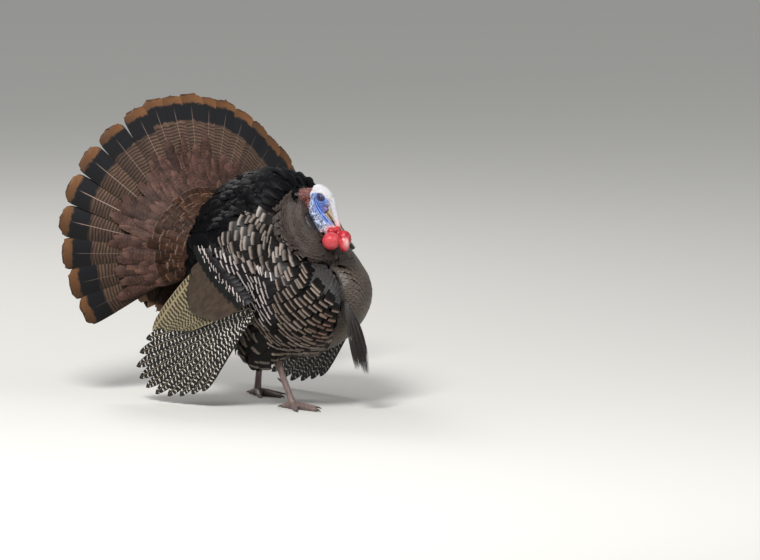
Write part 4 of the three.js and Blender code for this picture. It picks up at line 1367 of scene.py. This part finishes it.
def makeFan():
    plan = fanPlan
    count = plan["feathers"]
    feathers = np.arange(count, dtype=float)
    reach = fanReach(feathers, plan["length"]) * chance.normal(1, 0.008, count)
    spines = fanSpines(feathers, np.full(count, plan["start"]), reach, rectrixShape["rows"],
                       lambda f, r: plan["layer"] * (np.abs(f - plan["middle"]) - 5) + 0 * r)
    plume = randomPlume(count)
    # zone: how strongly each pale shaft shows, most on feathers 3 to 5, a painted highlight
    plume[:, 1] = np.interp(feathers, (0, 2, 3, 4, 5, 6, 12, 17), (0.15, 0.3, 0.9, 1.0, 0.7, 0.45, 0.25, 0.1))
    material = plumeMaterial("tail feathers", plan["look"])
    makeFeathers("tail_rectrices", spines, (plan["halfWidth"], reach - plan["start"]), rectrixShape, plume,
                 evenPatches(count), material, "tail_feathers", ("tail_fan",))
    cover = 0.0051  # clears the foremost feather of the fan

    def mound(height, length, sign):
        def behind(feather, radius):
            v = np.clip((radius - 0.04) / (fanReach(feather, length) - 0.04), 0, 1)
            return sign * (cover + 0.002 + height * (1 - v) ** 1.2)
        return behind

    def covertRows(name, plan, look, node):
        # rows of feathers over the fan, each row shorter than the one beneath it
        parts = []
        for k, tip in enumerate(plan["tips"]):
            number = plan["count"] + (k % 2)
            f = np.linspace(plan["first"], plan["last"], number) + chance.normal(0, 0.12, number)
            end = fanReach(f, tip) * chance.normal(1, plan["uneven"], number)
            start = np.maximum(end - plan["long"], 0.03)
            half = plan["halfWidth"] * (0.55 + 0.45 * tip / plan["tips"][0]) * chance.normal(1, 0.08, number)
            extra = np.full(number, k * 0.0013) + chance.normal(0, 0.0005, number)
            parts.append((f, start, end, half, extra))
        f, start, end, half, extra = (np.concatenate(column) for column in zip(*parts))
        base = mound(plan["mound"], plan["length"], plan["sign"])
        spines = fanSpines(f, start, end, plan["shape"]["rows"],
                           lambda feather, radius: base(feather, radius) + plan["sign"] * extra[:, None],
                           -plan["sign"])
        makeFeathers(name, spines, (half, end - start), plan["shape"], randomPlume(len(f)),
                     evenPatches(len(f), 4), plumeMaterial(f"{name} finish", look), "covert_feathers", node)

    upper = plan["upper"]
    covertRows("tail_coverts", upper, plan["covertLook"], ("tail_coverts_upper",))
    covertRows("rump_scales", {**upper, **plan["scales"]}, plan["scaleLook"], ())
    covertRows("under_tail_coverts", {**upper, **plan["lower"]}, plan["underLook"], ("tail_coverts_lower",))


# rows of coverts by the reach of their tips; scales and lower name only what differs from upper
fanPlan["upper"] = {
    "tips": (0.270, 0.250, 0.228, 0.206, 0.184), "count": 38, "first": 0, "last": 17, "uneven": 0.11,
    "long": 0.16, "halfWidth": 0.0175, "mound": 0.080, "length": 0.262, "sign": -1, "shape": covertShape,
}
fanPlan["scales"] = {
    "tips": (0.168, 0.153, 0.138, 0.123, 0.108, 0.093), "count": 32, "uneven": 0.03, "long": 0.05,
    "halfWidth": 0.0150, "mound": 0.108, "shape": {**roundShape, "camber": 0.18, "roll": 0.1},
}
fanPlan["lower"] = {
    "tips": (0.262, 0.236, 0.205, 0.172, 0.140), "count": 28, "first": -2.2, "last": 19.0, "uneven": 0.03,
    "long": 0.14, "halfWidth": 0.027, "mound": 0.040, "length": 0.215, "sign": 1,
}
makeFan()


# the right wing, mirrored for the left
# the coverts: how far the roots lie above the arm's line and the tips below it, number, half width, finish,
# span of the line, and how far the roots and the tips stand out from it
wingPlan = {
    "innerTip": (-0.222, 0.290, 0.186), "outerTip": (-0.236, 0.168, 0.205), "lineShare": 0.94, "bow": 0.008,
    "secondaries": 14, "primaries": 10, "greaterCoverts": 14, "topAngle": 15, "bottomAngle": 55,
    "lengths": (0.385, 0.455, 0.442, 0.365, 0.288), "flare": 0.075, "inset": 0.014,
    "coverts": {
        "median_coverts": (
            (0.018, 0.014, 0.012, 0.014), (0.030, 0.043, 0.045, 0.022), 12, 0.0150, "median", (0.0, 1.0),
            (-0.005, 0.018),
        ),
        "lesser_coverts_lower": (
            (0.008,) * 4, (0.014, 0.028, 0.031, 0.012), 15, 0.0120, "arm", (0.0, 1.0), (-0.006, 0.0150),
        ),
        "lesser_coverts_upper": (
            (0.020,) * 4, (0.004, 0.016, 0.018, 0.002), 15, 0.0120, "arm", (0.0, 1.0), (-0.010, 0.0125),
        ),
        "mantle_edge": ((0.030,) * 4, (0.034,) * 4, 4, 0.0140, "mantle", (-0.13, 0.04), (-0.001, 0.014)),
    },
    "secondaryLook": {
        "base": "#8f8468", "baseB": "#7f7558", "rough": 0.5, "gloss": 0.3, "dim": 0.8, "lit": 1.1,
        "bars": {
            "pitch": 0.0122, "width": 0.56, "colour": "#2a2117", "start": 0.002, "end": 0.30, "wave": 0.10,
            "slant": 0.2, "strength": 0.92,
        },
        "edge": rim(0.14, "#9c8f70", 1.0), "rachis": {"width": 0.15, "colour": "#8c8062"},
        "shaft": {"width": 0.03, "colour": "#54462f", "strength": 0.7},
    },
    "primaryLook": {
        "base": "#0e0c0b", "baseB": "#171311", "rough": 0.46, "gloss": 0.3, "dim": 0.85, "lit": 1.1,
        "bars": {
            "pitch": 0.0142, "width": 0.115, "colour": "#ddd6ca", "start": 0.010, "end": 0.45, "wave": 0.34,
            "slant": 0.55, "strength": 1.0,
        },
        "edge": rim(0.50, "#0b0908", 1.0), "rachis": {"width": 0.17, "colour": "#0d0b0a"},
        "shaft": {"width": 0.045, "colour": "#9b907c", "strength": 0.9},
    },
    "greaterLook": {
        "base": "#35291f", "baseB": "#43362a", "rough": 0.36, "gloss": 0.4, "dim": 0.9, "lit": 1.08,
        "bands": [band(-0.01, 0.0045, "#0f0c0a", 0.003, 0.001)],
    },
    "medianLook": {
        "base": "#090b0b", "baseB": "#10130f", "rough": 0.36, "gloss": 0.25, "dim": 0.6, "lit": 1.4,
        "bands": [band(-0.01, 0.0016, "#060706", 0.001, 0.0005)],
    },
}


def rowSpines(rootAt, tipAt, places, stations, bow, outward):
    # blades between a line of roots and a line of tips, bowed away from the body
    stations = np.concatenate(([0.0], stations, [1.0]))

    def at(u, v):
        point = mix(rootAt(u), tipAt(u), v)
        point[..., 0] -= bow * np.sin(math.pi * v[..., 0])
        return point

    u = np.repeat(places[:, None], len(stations), 1)[..., None]
    v = np.broadcast_to(stations[None, :, None], u.shape)
    spine = at(u, v)
    spine[..., 0] -= outward[:, None]
    side = unit(at(u + 0.01, v) - at(u - 0.01, v))
    along = unit(np.gradient(spine, axis=1))
    side = unit(side - (side * along).sum(-1)[..., None] * along)
    up = np.cross(side, along)
    flip = np.where(up[..., :1] > 0, -1, 1)
    return spine, side * flip, up * flip


bladeRows = tuple(np.linspace(0.05, 0.9, 14)) + (0.94, 0.965, 0.985)
bladeShape = {
    "rows": bladeRows,
    "widths": tuple(np.interp(bladeRows, (0, 0.15, 0.5, 0.80, 0.90, 0.95, 1),
                              (0.4, 0.8, 1, 1, 0.86, 0.66, 0.2))),
    "columns": (-1, -0.6, -0.2, 0, 0.2, 0.6, 1), "camber": 0.06, "ragged": 0.03, "sweep": 0.25,
}
covertForm = {**squareShape, "camber": 0.12, "roll": 0.05, "ragged": 0.05}


def makeWing(sideName):
    plan = wingPlan
    mirror = 1 if sideName == "right" else -1

    def turned(spines):
        return tuple(part * (mirror, 1, 1) for part in spines)

    def armLine(u):
        return mix(elbow, wrist, u * plan["lineShare"])

    def quillLine(u):
        # the inner quills start a little down the arm
        return armLine(0.16 + 0.84 * u)

    def secondaryTip(u):
        return mix(plan["innerTip"], plan["outerTip"], u)

    def primaryTip(u):
        angle = np.radians(plan["topAngle"] + (plan["bottomAngle"] - plan["topAngle"]) * u)
        out = unit(np.concatenate((np.full_like(angle, -plan["flare"]), np.cos(angle), -np.sin(angle)), -1))
        return wrist + out * spline(np.array(plan["lengths"])[:, None], u[..., 0]) + (plan["inset"], 0, 0)

    def primaryRoot(u):
        return mix(wrist + (plan["inset"], 0, 0), primaryTip(u), 0.04)

    def greaterRoot(u):
        return quillLine(u) + armDown * 0.010 - (0.006, 0, 0)

    def greaterTip(u):
        share = np.interp(u, (0, 0.12, 0.30, 0.55, 0.8, 1), (0.24, 0.36, 0.50, 0.57, 0.57, 0.50))
        point = mix(quillLine(u), secondaryTip(u), share)
        return point - (0.014, 0, 0) - np.array((0.006, 0, 0)) * np.sin(math.pi * u)

    def row(name, laid, half, shape, finish, nodes=()):
        length = np.linalg.norm(np.diff(laid[0], axis=1), axis=-1).sum(1)
        count = len(length)
        makeFeathers(f"{sideName}_{name}", turned(laid), (half, length), shape, randomPlume(count),
                     evenPatches(count), wingFinishes[finish], "wing_feathers", nodes)

    def quills(name, node, count, rootAt, tipAt, half, shape, bow, layer, first, finish):
        # a full row of quills, each lying a little over the next
        at = (np.arange(count) + 0.5) / count
        laid = rowSpines(rootAt, tipAt, at, shape["rows"], bow, layer * (first - np.arange(count)))
        row(name, laid, half, shape, finish, (f"wing_{sideName}_{node}",))

    def hanging(name, rootUp, tipDown, count, half, finish, span, outs):
        # coverts from above the line of the arm to below it, over a span of it; outs moves roots and tips out
        def rootAt(u):
            v = span[0] + (span[1] - span[0]) * u
            return armLine(v) - armLie * np.interp(v, (0, 0.25, 0.5, 1.0), rootUp) - (outs[0], 0, 0)

        def tipAt(u):
            v = span[0] + (span[1] - span[0]) * u
            return armLine(v) + armLie * np.interp(v, (0, 0.25, 0.5, 1.0), tipDown) - (outs[1], 0, 0)

        at = (np.arange(count) + 0.5 + chance.normal(0, 0.06, count)) / count
        laid = rowSpines(rootAt, tipAt, at, covertForm["rows"], 0.004, 0.0005 * (np.arange(count) % 2))
        row(name, laid, half, covertForm, finish)

    quills("secondaries", "secondaries", plan["secondaries"], quillLine, secondaryTip, 0.019, bladeShape,
           plan["bow"], 0.0006, 6, "secondary")
    quills("primaries", "primaries", plan["primaries"], primaryRoot, primaryTip, 0.0175, bladeShape,
           0.006, 0.0007, 5, "primary")
    quills("greater_coverts", "coverts", plan["greaterCoverts"], greaterRoot, greaterTip, 0.019, roundShape,
           0.002, 0.0005, 6, "greater")
    for name, values in plan["coverts"].items():
        hanging(name, *values)


wingFinishes = {
    "secondary": plumeMaterial("secondary feathers", wingPlan["secondaryLook"]),
    "primary": plumeMaterial("primary feathers", wingPlan["primaryLook"]),
    "greater": plumeMaterial("greater covert feathers", wingPlan["greaterLook"]),
    "median": plumeMaterial("median covert feathers", wingPlan["medianLook"]),
    "mantle": bpy.data.materials["dome feathers"],
    "arm": bpy.data.materials["arm feathers"],
}
for sideName in sides:
    makeWing(sideName)


beardPlan = {
    "root": (0, -0.205, 0.290), "tips": ((-0.004, -0.258, 0.118), (0.017, -0.268, 0.104)), "bristles": 190,
    "forwards": (0, 0.012, 0.008, 0), "halfWidths": (0.006, 0.015, 0.018, 0.010), "radius": 0.0005,
    "steps": 14, "dark": "#0c0b0b", "light": "#4c4641",
}


def makeBeard():
    # thin three-sided bristles in two tufts
    plan = beardPlan
    steps = plan["steps"]
    points, faces, tones = [], [], []
    for tip in plan["tips"]:
        for _ in range(plan["bristles"]):
            base = len(points) * steps * 3
            reach = chance.uniform(0.82, 1.02)
            t = np.linspace(0, 1, steps)
            middle = mix(plan["root"], tip, (t * reach)[:, None])
            middle[:, 1] -= spline(plan["forwards"], t)
            turn, share = chance.uniform(0, 2 * math.pi), math.sqrt(chance.random())
            wide = spline(plan["halfWidths"], t) * share
            middle[:, 0] += np.cos(turn + t * 0.7) * wide
            middle[:, 1] += np.sin(turn + t * 0.7) * wide * 0.7
            thick = plan["radius"] * np.interp(t, (0, 0.8, 1), (1, 0.9, 0.25)) * chance.uniform(0.8, 1.2)
            around = np.arange(3) * 2 * math.pi / 3
            section = np.stack((np.cos(around), np.sin(around), 0 * around), -1)
            points.append((middle[:, None] + section * thick[:, None, None]).reshape(-1, 3))
            tones += [chance.random()] * (steps * 3)
            for i in range(base, base + (steps - 1) * 3, 3):
                faces += [(i + j, i + (j + 1) % 3, i + 3 + (j + 1) % 3, i + 3 + j) for j in range(3)]
            last = base + (steps - 1) * 3
            faces += [(base + 2, base + 1, base), (last, last + 1, last + 2)]
    mesh = meshOf("beard", np.concatenate(points), faces)
    addColours(mesh, "plume", tones)
    material, tree, shader = newMaterial("beard bristles")
    link, maths, ramp, blend, noise = nodeKit(tree, "link maths ramp blend noise")
    tone = attributeOf(tree, "plume")["Fac"]
    speck = maths("MULTIPLY_ADD", noise(objectPlace(tree), 90.0, 3.0), 0.5, maths("MULTIPLY", tone, 0.6))
    link(blend(speck, ink(plan["dark"]), ink(plan["light"])), shader.inputs["Base Color"])
    link(ramp(speck, 0.2, 0.8, 0.35, 0.55), shader.inputs["Roughness"])
    finishPiece(newObject("beard_bristles", mesh), ("beard",), "beard_bristles", material)


makeBeard()


# under: near black, painted shade for the skin beneath the feathers
skinColours = {
    "under": "#1a1512", "white": "#c6c4c8", "pale": "#92ace0", "blue": "#4068c0", "deep": "#101c5a",
    "ring": "#1f2248", "throat": "#c2cee4", "speck": "#131a3a", "mauve": "#6d3f5e", "pink": "#e3b4b0",
    "red": "#b8232e", "redPaleLit": "#cc4a50", "redDark": "#7d101c", "nape": "#8b4b3f", "napeShade": "#4d221d",
    "leg": "#84706b", "legDark": "#54443f",
}


def faceColours(p):
    # the colours of the head's skin, laid one over the other
    look = headLook
    paint = {key: np.array(ink(code)) for key, code in skinColours.items()}
    f, _, _, side, eye, fold, wattle, _, nape, white = headZones(p)
    fine = fieldOf(p, look["wrinkleSize"], 4.0)
    broad = fieldOf(p, 0.011, 7.0)
    folds = rings(fold + foldWander(p), look["foldPitch"])
    cheek = smooth(0.011, 0.006, fold) * smooth(-0.018, -0.012, fold)
    throat = smooth(0.001, -0.005, fold)
    scribble = smooth(0.34, 0.14, throatCells(p)) * smooth(-0.4, 0.0, fieldOf(p, 0.007, 1.0))
    # the near wattle is a lighter red, partly its own colour and partly a painted highlight
    warts = cellsOf(p, look["wartSize"])
    palerAndLit = smooth(0.036, 0.022, np.linalg.norm(p - headShapes["wattles"][1][0], axis=1))
    # a spot on the top of the middle wattle, for its painted highlight
    middle = np.exp(-(((p - (-0.006, -0.220, 0.446)) / (0.009, 0.009, 0.013)) ** 2).sum(1))
    away = np.linalg.norm(p - headPlace, axis=1)
    # where the feathers cover the skin it takes the colour under: painted shade under the coat
    shadeUnderCoat = np.maximum(smooth(0.004, 0.008, -insideFeathers(p)), smooth(0.150, 0.160, away)) * (1 - wattle)
    shadeUnderCoat = np.maximum(shadeUnderCoat, smooth(0.095, 0.105, away) * smooth(0.06, 0.04, f) * (1 - wattle))
    shadeUnderCoat = np.maximum(shadeUnderCoat, smooth(0.420, 0.414, p[:, 2]))
    face = np.tile(paint["blue"], (len(p), 1))
    for name, mask in (
            ("pale", smooth(-0.1, 0.4, broad) * 0.8),
            ("pale", smooth(0.3, 0.95, folds) * 0.85),
            # deep: painted shade in the troughs of the cheek folds
            ("deep", smooth(-0.2, -0.85, folds) * cheek),
            ("throat", throat * 0.9),
            ("pink", smooth(0.012, 0.02, fold) * smooth(0.018, 0.03, f) * 0.3),
            ("mauve", smooth(0.005, 0.010, fold) * smooth(0.014, 0.030, f) * smooth(-0.3, 0.3, fine) * 0.6),
            ("blue", throat * smooth(0.05, 0.35, broad) * smooth(0.055, 0.03, f) * 0.55),
            ("speck", throat * scribble * 0.95),
            ("ring", smooth(0.0135, 0.0095, eye) * 0.9 * (side > 0.006)),
            ("white", white),
            ("speck", white * smooth(0.32, 0.5, fieldOf(p, look["poreSize"], 3.0)) * 0.5),
            ("nape", nape),
            # napeShade: painted shade between the warts
            ("napeShade", nape * smooth(0.55, 0.25, warts)),
            # pink on the wart tops: their paler colour with a painted highlight
            ("pink", nape * smooth(0.6, 0.9, warts) * smooth(-0.3, 0.3, broad) * 0.6),
            ("pink", smooth(0.062, 0.085, f) * 0.75),
            ("red", smooth(0.082, 0.098, f) * 0.9),
            ("red", wattle),
            # redPaleLit: the near wattle's paler red with a painted highlight
            ("redPaleLit", wattle * palerAndLit * 0.8),
            ("redDark", wattle * smooth(0.0, -0.45, fieldOf(p, look["wattleSize"], 2.0)) * 0.25),
            # pink on the top of the middle wattle: painted highlight
            ("pink", middle * 0.9),
            ("under", shadeUnderCoat)):
        face = mix(face, paint[name], np.clip(mask, 0, 1)[:, None])
    return face, wattle


def makeSkin():
    mesh = skinMesh
    points = meshArrays(mesh)[0]
    # the skin starts near black: painted shade beneath the feathers
    colour = np.tile(ink(skinColours["under"]), (len(points), 1))
    gloss = np.zeros(len(points))
    near = np.linalg.norm(points - headPlace, axis=1) < headLook["reach"]
    colour[near], gloss[near] = faceColours(points[near])
    # horny scales below the feathers of the thighs
    low = smooth(0.176, 0.166, points[:, 2]) * (np.abs(points[:, 0]) < 0.14)
    scute = 0.5 + 0.5 * fieldOf(points * (1, 1, 0.35), 0.006)
    horn = mix(ink(skinColours["legDark"]), ink(skinColours["leg"]), scute[:, None])
    addColours(mesh, "gloss", gloss)
    addColours(mesh, "tint", mix(colour, horn, low[:, None]))
    mesh.shade_smooth()
    material, tree, shader = newMaterial("skin")
    link, ramp, blend, noise = nodeKit(tree, "link ramp blend noise")
    tint = attributeOf(tree, "tint")["Color"]
    speck = noise(objectPlace(tree), 400.0, 4.0)
    link(blend(ramp(speck, 0.4, 0.75, 0.0, 0.22), tint, (0.03, 0.02, 0.03)), shader.inputs["Base Color"])
    link(ramp(attributeOf(tree, "gloss")["Fac"], 0.0, 1.0, 0.5, 0.27), shader.inputs["Roughness"])
    shader.inputs["Subsurface Weight"].default_value = 0.12
    shader.inputs["Subsurface Radius"].default_value = (0.003, 0.001, 0.0006)
    addBump(tree, shader, speck, 0.4, 0.0008)
    finishPiece(newObject("skin", mesh), bodyNodes + bareNodes, "bare_skin", material)


makeSkin()


def smoothNode(name, material, slot):
    # a part of the frame, rounded
    obj = newObject("helper", meshOf(name, *nodePiece(name, 0.0)))
    obj.modifiers.new("smooth", "SUBSURF").levels = 2
    mesh = applied(obj)
    mesh.shade_smooth()
    mesh.name = name
    finishPiece(newObject(f"{name}_smooth", mesh), (name,), slot, material)


def plainMaterial(name, colour, other, rough, scale=300.0):
    material, tree, shader = newMaterial(name)
    link, ramp, blend, noise = nodeKit(tree, "link ramp blend noise")
    speck = noise(objectPlace(tree), scale, 3.0)
    link(blend(ramp(speck, 0.35, 0.65), ink(colour), ink(other)), shader.inputs["Base Color"])
    link(ramp(speck, 0.2, 0.8, rough - 0.05, rough + 0.08), shader.inputs["Roughness"])
    return material


def makeEyeMaterial():
    # the angle from the middle of the cornea: black pupil, brown iris, dark rim
    material, tree, shader = newMaterial("eye")
    link, ramp, blend, noise = nodeKit(tree, "link ramp blend noise")
    away = attributeOf(tree, "iris")["Fac"]
    rays = noise(objectPlace(tree), 900.0, 3.0)
    colour = blend(ramp(away, 0.38, 0.44), ink("#050303"), blend(rays, ink("#2a110a"), ink("#522415")))
    link(blend(ramp(away, 0.62, 0.72), colour, ink("#120a09")), shader.inputs["Base Color"])
    link(ramp(rays, 0.0, 1.0, 0.05, 0.09), shader.inputs["Roughness"])
    shader.inputs["Coat Weight"].default_value = 1.0
    shader.inputs["Coat Roughness"].default_value = 0.03
    return material


eyeFinish = makeEyeMaterial()


def makeEye(sideName):
    # the ball keeps its place in the frame, with a slight bulge of the cornea
    sign = 1 if sideName == "right" else -1
    centre = fromHead(0, 0, sign * eyePlan["spread"])
    points, faces = ballPiece((0, 0, 0), (1, 1, 1))
    away = np.arccos(np.clip(points @ (sign * headRight), -1, 1))
    radius = eyePlan["radius"] * (1 + 0.035 * smooth(0.75, 0.2, away))
    mesh = meshOf(f"eye_{sideName}", centre + points * radius[:, None], faces)
    addColours(mesh, "iris", away)
    finishPiece(newObject(f"eyeball_{sideName}", mesh), (f"eye_{sideName}",), "eye", eyeFinish)


def makeLids(sideName):
    # rims of skin round the opening: a thick one on the eye and a softer one outside it
    sign = 1 if sideName == "right" else -1
    around, ring = 72, 10
    turn = np.linspace(0, 2 * math.pi, around, endpoint=False)
    pieces = []
    for wide, tall, thick, out in ((1.0, 1.0, 0.00095, 0.0092), (1.28, 1.34, 0.00115, 0.0094)):
        f = eyePlan["openForward"] * wide * np.cos(turn) * (1 + 0.08 * np.cos(turn))
        c = eyePlan["openUp"] * tall * np.sin(turn) * (1 - 0.12 * (np.sin(turn) > 0))
        flat = np.hypot(f, c)
        r = eyePlan["spread"] + np.sqrt(np.maximum(out ** 2 - flat ** 2, 0.004 ** 2)) - 0.0003
        middle = fromHead(*(v[:, None] for v in (f, c, sign * r)))
        centre = fromHead(0, 0, sign * eyePlan["spread"])
        upwards = unit(middle - centre)
        tangent = unit(np.roll(middle, -1, 0) - np.roll(middle, 1, 0))
        outwards = np.cross(tangent, upwards)
        ripple = 1 + 0.10 * np.sin(turn * 13) + 0.06 * np.sin(turn * 29)
        fatness = thick * (1 + 0.35 * np.sin(turn)) * ripple
        section = np.linspace(0, 2 * math.pi, ring, endpoint=False)
        points = (middle[:, None] + outwards[:, None] * (fatness[:, None] * np.cos(section))[..., None] * 1.3
                  + upwards[:, None] * (fatness[:, None] * np.sin(section))[..., None] * 0.8)
        faces = [[i * ring + j, i * ring + (j + 1) % ring, (i + 1) % around * ring + (j + 1) % ring,
                  (i + 1) % around * ring + j] for i in range(around) for j in range(ring)]
        pieces.append((points.reshape(-1, 3), faces))
    mesh = joinedMesh(f"lids_{sideName}", pieces)
    work = bmesh.new()
    work.from_mesh(mesh)
    bmesh.ops.recalc_face_normals(work, faces=work.faces)
    work.to_mesh(mesh)
    work.free()
    mesh.shade_smooth()
    finishPiece(newObject(f"eyelids_{sideName}", mesh), (), "bare_skin", lidFinish)


billFinish = plainMaterial("bill horn", "#b9a283", "#a08a6c", 0.35)
lidFinish = plainMaterial("eyelid skin", "#20234a", "#3d477f", 0.4, 500.0)
clawFinish = plainMaterial("claw horn", "#3a302a", "#54463c", 0.4)
for sideName in sides:
    makeEye(sideName)
    makeLids(sideName)
    smoothNode(f"spur_{sideName}", clawFinish, "claw_horn")
    for toe in toeLengths:
        smoothNode(f"claw_{sideName}_{toe}", clawFinish, "claw_horn")
smoothNode("bill_upper", billFinish, "bill_horn")
smoothNode("bill_lower", billFinish, "bill_horn")


stageLook = {
    "floor": ink("#cfcdc8"), "floorSize": 60, "world": ink("#dcdedf"), "worldStrength": 0.58,
    # place, size and strength of each light, and what they point at
    "lights": {"key": ((-3.2, -1.6, 4.2), 1.6, 300.0), "fill": ((1.5, -4.5, 2.2), 2.5, 45.0),
               "rim": ((1.0, 3.6, 3.4), 1.6, 80.0)},
    "middle": (0, 0, 0.38),
    "target": (0.2487, -0.1949, 0.3092), "distance": 40.0, "azimuth": -45.0, "elevation": 7.0, "lens": 717.7,
}


def makeStage():
    look = stageLook
    far = look["floorSize"]
    mesh = bpy.data.meshes.new("floor")
    mesh.from_pydata([(-far, -far, 0), (far, -far, 0), (far, far, 0), (-far, far, 0)], [], [(0, 1, 2, 3)])
    floor = newObject("floor", mesh)
    material, tree, shader = newMaterial("floor")
    link, ramp, noise = nodeKit(tree, "link ramp noise")
    link(ramp(noise(objectPlace(tree), 3.0), 0.3, 0.7, 0.85, 0.92), shader.inputs["Roughness"])
    link(look["floor"], shader.inputs["Base Color"])
    mesh.materials.append(material)
    world = bpy.data.worlds.new("studio")
    world.use_nodes = True
    world.node_tree.nodes["Background"].inputs[0].default_value = (*look["world"], 1)
    world.node_tree.nodes["Background"].inputs[1].default_value = look["worldStrength"]
    scene.world = world
    for name, (place, size, strength) in look["lights"].items():
        light = bpy.data.lights.new(name, "AREA")
        light.size = size
        light.energy = strength
        obj = newObject(name, light)
        obj.location = place
        obj.rotation_euler = (Vector(look["middle"]) - Vector(place)).to_track_quat("-Z", "Y").to_euler()
    camera = bpy.data.cameras.new("camera")
    camera.lens = look["lens"]
    camera.clip_end = 200
    obj = newObject("camera", camera)
    azimuth, elevation = math.radians(look["azimuth"]), math.radians(look["elevation"])
    back = Vector((math.sin(azimuth) * math.cos(elevation), -math.cos(azimuth) * math.cos(elevation),
                   math.sin(elevation)))
    obj.location = Vector(look["target"]) + back * look["distance"]
    obj.rotation_euler = (-back).to_track_quat("-Z", "Y").to_euler()
    scene.camera = obj
    scene.view_settings.view_transform = "Standard"


makeStage()
print("stage ready")
